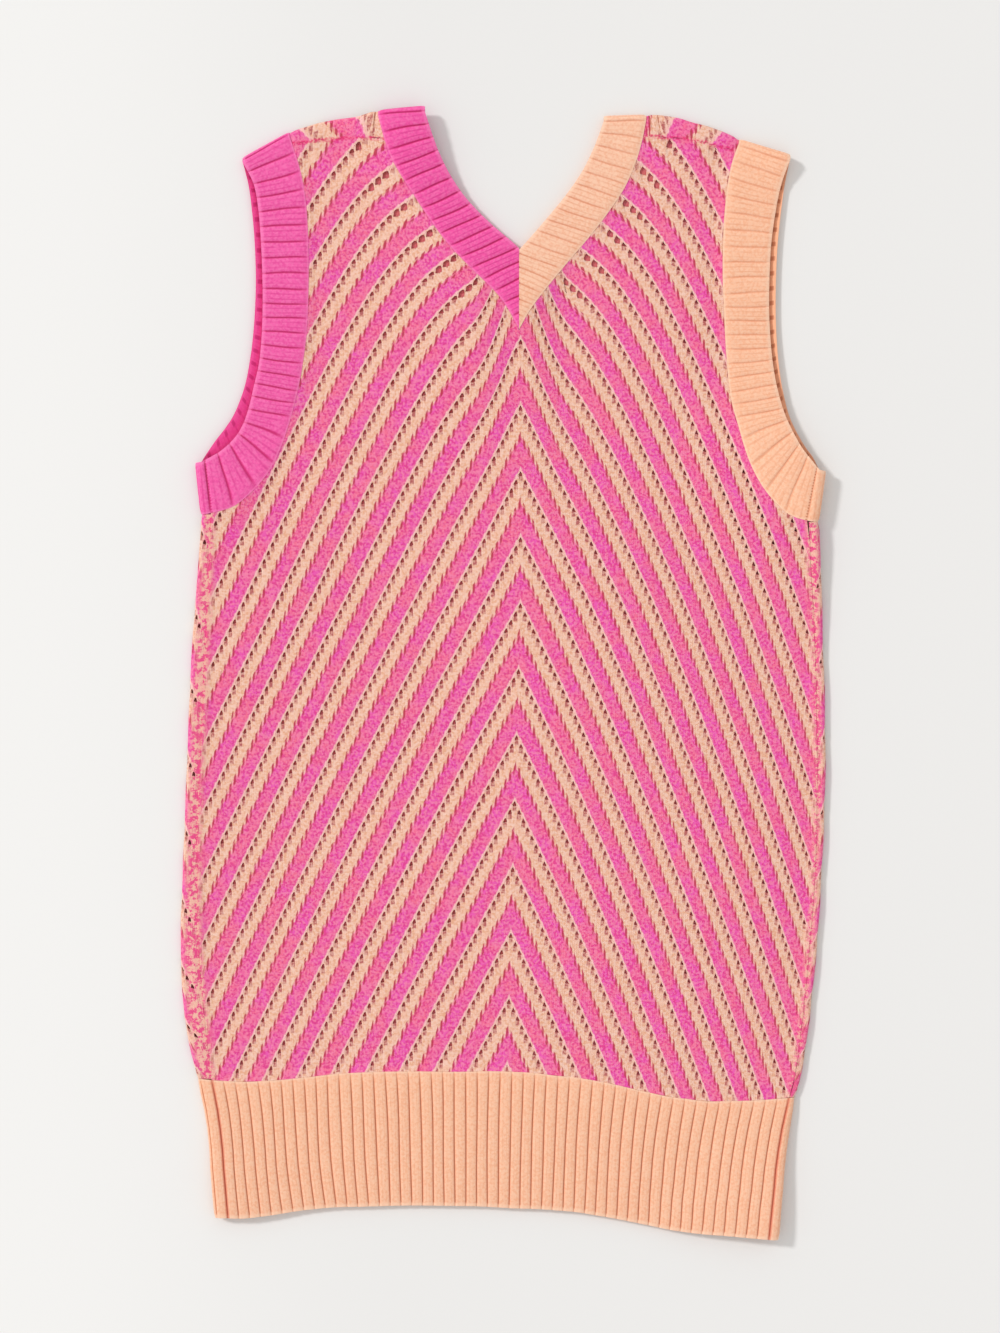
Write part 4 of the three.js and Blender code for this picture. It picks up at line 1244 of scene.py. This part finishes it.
# %% Finishes for the two rib colours
def rib_finish(name, light, groove_shade_and_dark_stitches, speck_and_gap_shade, glint, under, groove_shade_tone=0.8, wale_tone=0.5, sewn_end=False,
               side_seams=None):
    """Fine stitches in nine wales to a rib, with painted shade in the grooves between the ribs and in the stitch
    gaps. side_seams is the number of ribs of a piece that is sewn at both ends."""
    material, n, shader, uv, place = new_finish(name)
    ribs, across = n.split(uv)
    stitches = n.vector(n.math("MULTIPLY", ribs, 9.0), n.math("MULTIPLY", across, 1.2))
    knit = use_group(n, "knit_stitches", Stitches=stitches)
    mottle = use_group(n, "yarn_mottle", Place=place)
    from_middle = n.math("ABSOLUTE", n.math("SUBTRACT", n.math("FRACT", ribs), 0.5))
    # painted shade in the grooves between the ribs, weaker near the seam and the cast-off edge
    groove = n.math("MULTIPLY", n.smooth(from_middle, 0.39, 0.485), n.smooth(across, 0.5, 7.0, 0.3 * groove_shade_tone, groove_shade_tone))
    margin = n.add("ShaderNodeAttribute", attribute_name="margin").outputs["Fac"]
    cast_off = n.smooth(margin, 1.0, 3.0, 1.0, 0.0)
    groove = n.math("MULTIPLY", groove, n.smooth(cast_off, 0.0, 1.0, 1.0, 0.25))
    wale_line = n.math("COSINE", n.math("MULTIPLY", ribs, 6 * math.pi))
    wale_line = n.math("MULTIPLY", n.smooth(wale_line, 0.35, 1.0), n.smooth(mottle["Patch"], 0.0, 1.0, 0.4 * wale_tone, wale_tone))
    colour = n.blend(n.math("MULTIPLY", mottle["Speck"], 0.5), light, speck_and_gap_shade)
    colour = n.blend(n.math("MULTIPLY", mottle["Glint"], 0.4), colour, glint)
    colour = n.blend(wale_line, colour, n.blend(0.35, speck_and_gap_shade, groove_shade_and_dark_stitches))
    colour = n.blend(groove, colour, groove_shade_and_dark_stitches)
    # painted shade in the gaps between the stitches' legs, in the speck colour
    colour = n.blend(n.math("MULTIPLY", knit["Gap_Shade"], 0.3), colour, speck_and_gap_shade)
    inside_on = n.add("ShaderNodeAttribute", attribute_name="inside").outputs["Fac"]
    linked = n.smooth(across, 0.5, 1.6, 1.0, 0.0)
    colour = n.blend(n.math("MULTIPLY", n.math("MAXIMUM", cast_off, linked), 0.5), colour, glint)
    colour = n.blend(n.math("MULTIPLY", inside_on, 0.7), colour, under)
    spots = n.math("MULTIPLY", n.smooth(from_middle, 0.3, 0.4), n.math(
        "MULTIPLY", n.smooth(margin, 0.8, 1.6), n.smooth(margin, 4.0, 5.5, 1.0, 0.0)))
    colour = n.blend(n.math("MULTIPLY", inside_on, n.math("MULTIPLY", spots, 0.8)), colour, groove_shade_and_dark_stitches)
    if sewn_end:
        dots = n.math("MULTIPLY", n.smooth(ribs, 0.06, 0.12, 1.0, 0.0), n.smooth(
            n.math("SINE", n.math("MULTIPLY", across, 3.4)), 0.1, 0.7))
        colour = n.blend(n.math("MULTIPLY", dots, 0.8), colour, groove_shade_and_dark_stitches)
    # near the sewn ends: a darker orange-brown, partly the seam's own colour and partly painted shade of the crease
    # at the side fold
    if side_seams:
        from_end = n.math("MINIMUM", ribs, n.math("SUBTRACT", float(side_seams), ribs))
        colour = n.blend(n.smooth(from_end, 0.06, 0.22, 0.65, 0.0), colour, linear(218, 110, 84))
    n.join(colour, shader.inputs["Base Color"])
    n.join(n.math("MULTIPLY_ADD", mottle["Fuzz"], 0.2, 0.75), shader.inputs["Roughness"])
    relief = n.math("MULTIPLY_ADD", mottle["Fuzz"], 0.25, knit["Height"])
    n.join(n.bump(relief, 0.5, 0.0003), shader.inputs["Normal"])
    return material


# each yarn: light, painted groove shade (also the seam dots and inside spots), speck (also the painted stitch-gap
# shade), glint, under
PINK_YARN = [linear(252, 104, 176), linear(205, 34, 112), linear(230, 68, 150), linear(255, 136, 192), linear(244, 52, 140)]
ORANGE_YARN = [linear(255, 199, 164), linear(204, 120, 84), linear(244, 172, 134), linear(255, 216, 188), linear(255, 178, 134)]
pink_rib = rib_finish("pink_rib_knit", linear(250, 92, 170), *PINK_YARN[1:], groove_shade_tone=1.0, wale_tone=0.8)
pink_band = rib_finish("pink_band_knit", *PINK_YARN, wale_tone=0.6, sewn_end=True)
hem_front_rib = rib_finish("hem_front_knit", *ORANGE_YARN, wale_tone=0.3, side_seams=HEM_RIBS)
hem_back_rib = rib_finish("hem_back_knit", *ORANGE_YARN, wale_tone=0.3, side_seams=BACK_RIBS)
soft_orange_rib = rib_finish(
    "soft_orange_rib_knit", linear(255, 207, 178), *ORANGE_YARN[1:], groove_shade_tone=0.3, wale_tone=0.5)
orange_band = rib_finish("orange_band_knit", *ORANGE_YARN, groove_shade_tone=0.3, wale_tone=0.5, sewn_end=True)
finishes = {
    "front_panel_lace": striped,
    "back_panel_lace": striped,
    "hem_rib_front_knit": hem_front_rib,
    "hem_rib_back_knit": hem_back_rib,
    "neckband_left_rib": pink_rib,
    "neckband_right_rib": soft_orange_rib,
    "armhole_band_left_rib": pink_band,
    "armhole_band_right_rib": orange_band,
}
for name, finish in finishes.items():
    bpy.data.objects[name].data.materials.append(finish)
print("finishes:", sorted({m.name for m in finishes.values()}))

# %% [markdown]


# %% [markdown]
# ## Floor, light and camera
# The vest lies on a pale floor, painted a little lighter at the left as painted light from that side, and is
# seen from straight above. A soft key light comes from the upper left, so short shadows fall to the right and
# below, and a pale sky fills the rest.

# %% Floor
bm = bmesh.new()
bmesh.ops.create_grid(bm, x_segments=1, y_segments=1, size=3.0)
floor_mesh = bpy.data.meshes.new("floor")
bm.to_mesh(floor_mesh)
bm.free()
floor = bpy.data.objects.new("floor", floor_mesh)
bpy.context.collection.objects.link(floor)
floor_finish = bpy.data.materials.new("pale_floor")
floor_finish.use_nodes = True
floor_shader = floor_finish.node_tree.nodes["Principled BSDF"]
floor_nodes = Nodes(floor_finish.node_tree)
floor_x, _ = floor_nodes.split(floor_nodes.add("ShaderNodeTexCoord").outputs["Object"])
# painted light: the floor is a little lighter at the left, on the key light's side, and darker towards the middle
# and the right
floor_nodes.join(
    floor_nodes.blend(floor_nodes.smooth(floor_x, -0.33, -0.05), (0.862, 0.854, 0.838, 1), (0.806, 0.797, 0.783, 1)),
    floor_shader.inputs["Base Color"])
floor_shader.inputs["Roughness"].default_value = 0.9
floor_shader.inputs["Specular IOR Level"].default_value = 0.1
floor_mesh.materials.append(floor_finish)

# %% Light
sky = bpy.data.worlds.new("pale_sky")
sky.use_nodes = True
sky.node_tree.nodes["Background"].inputs["Color"].default_value = (1.0, 0.995, 0.99, 1)
sky.node_tree.nodes["Background"].inputs["Strength"].default_value = 0.75
bpy.context.scene.world = sky
key_data = bpy.data.lights.new("key", "SUN")
key_data.energy = 1.58
key_data.angle = math.radians(8)
key = bpy.data.objects.new("key", key_data)
bpy.context.collection.objects.link(key)
shadow_way = Vector((0.70, -0.36, -0.615))  # measured from the shadows beside the vest
key.rotation_euler = shadow_way.to_track_quat("-Z", "Y").to_euler()
bpy.context.scene.view_settings.view_transform = "Standard"

# %% Camera
camera_data = bpy.data.cameras.new("camera")
camera_data.lens = 85
camera_data.sensor_width = 36
camera = bpy.data.objects.new("camera", camera_data)
camera.location = (-1.99 * MM, 4.37 * MM, 2.046)
bpy.context.collection.objects.link(camera)
bpy.context.scene.camera = camera
print("camera is", camera.location.z, "m above the floor")
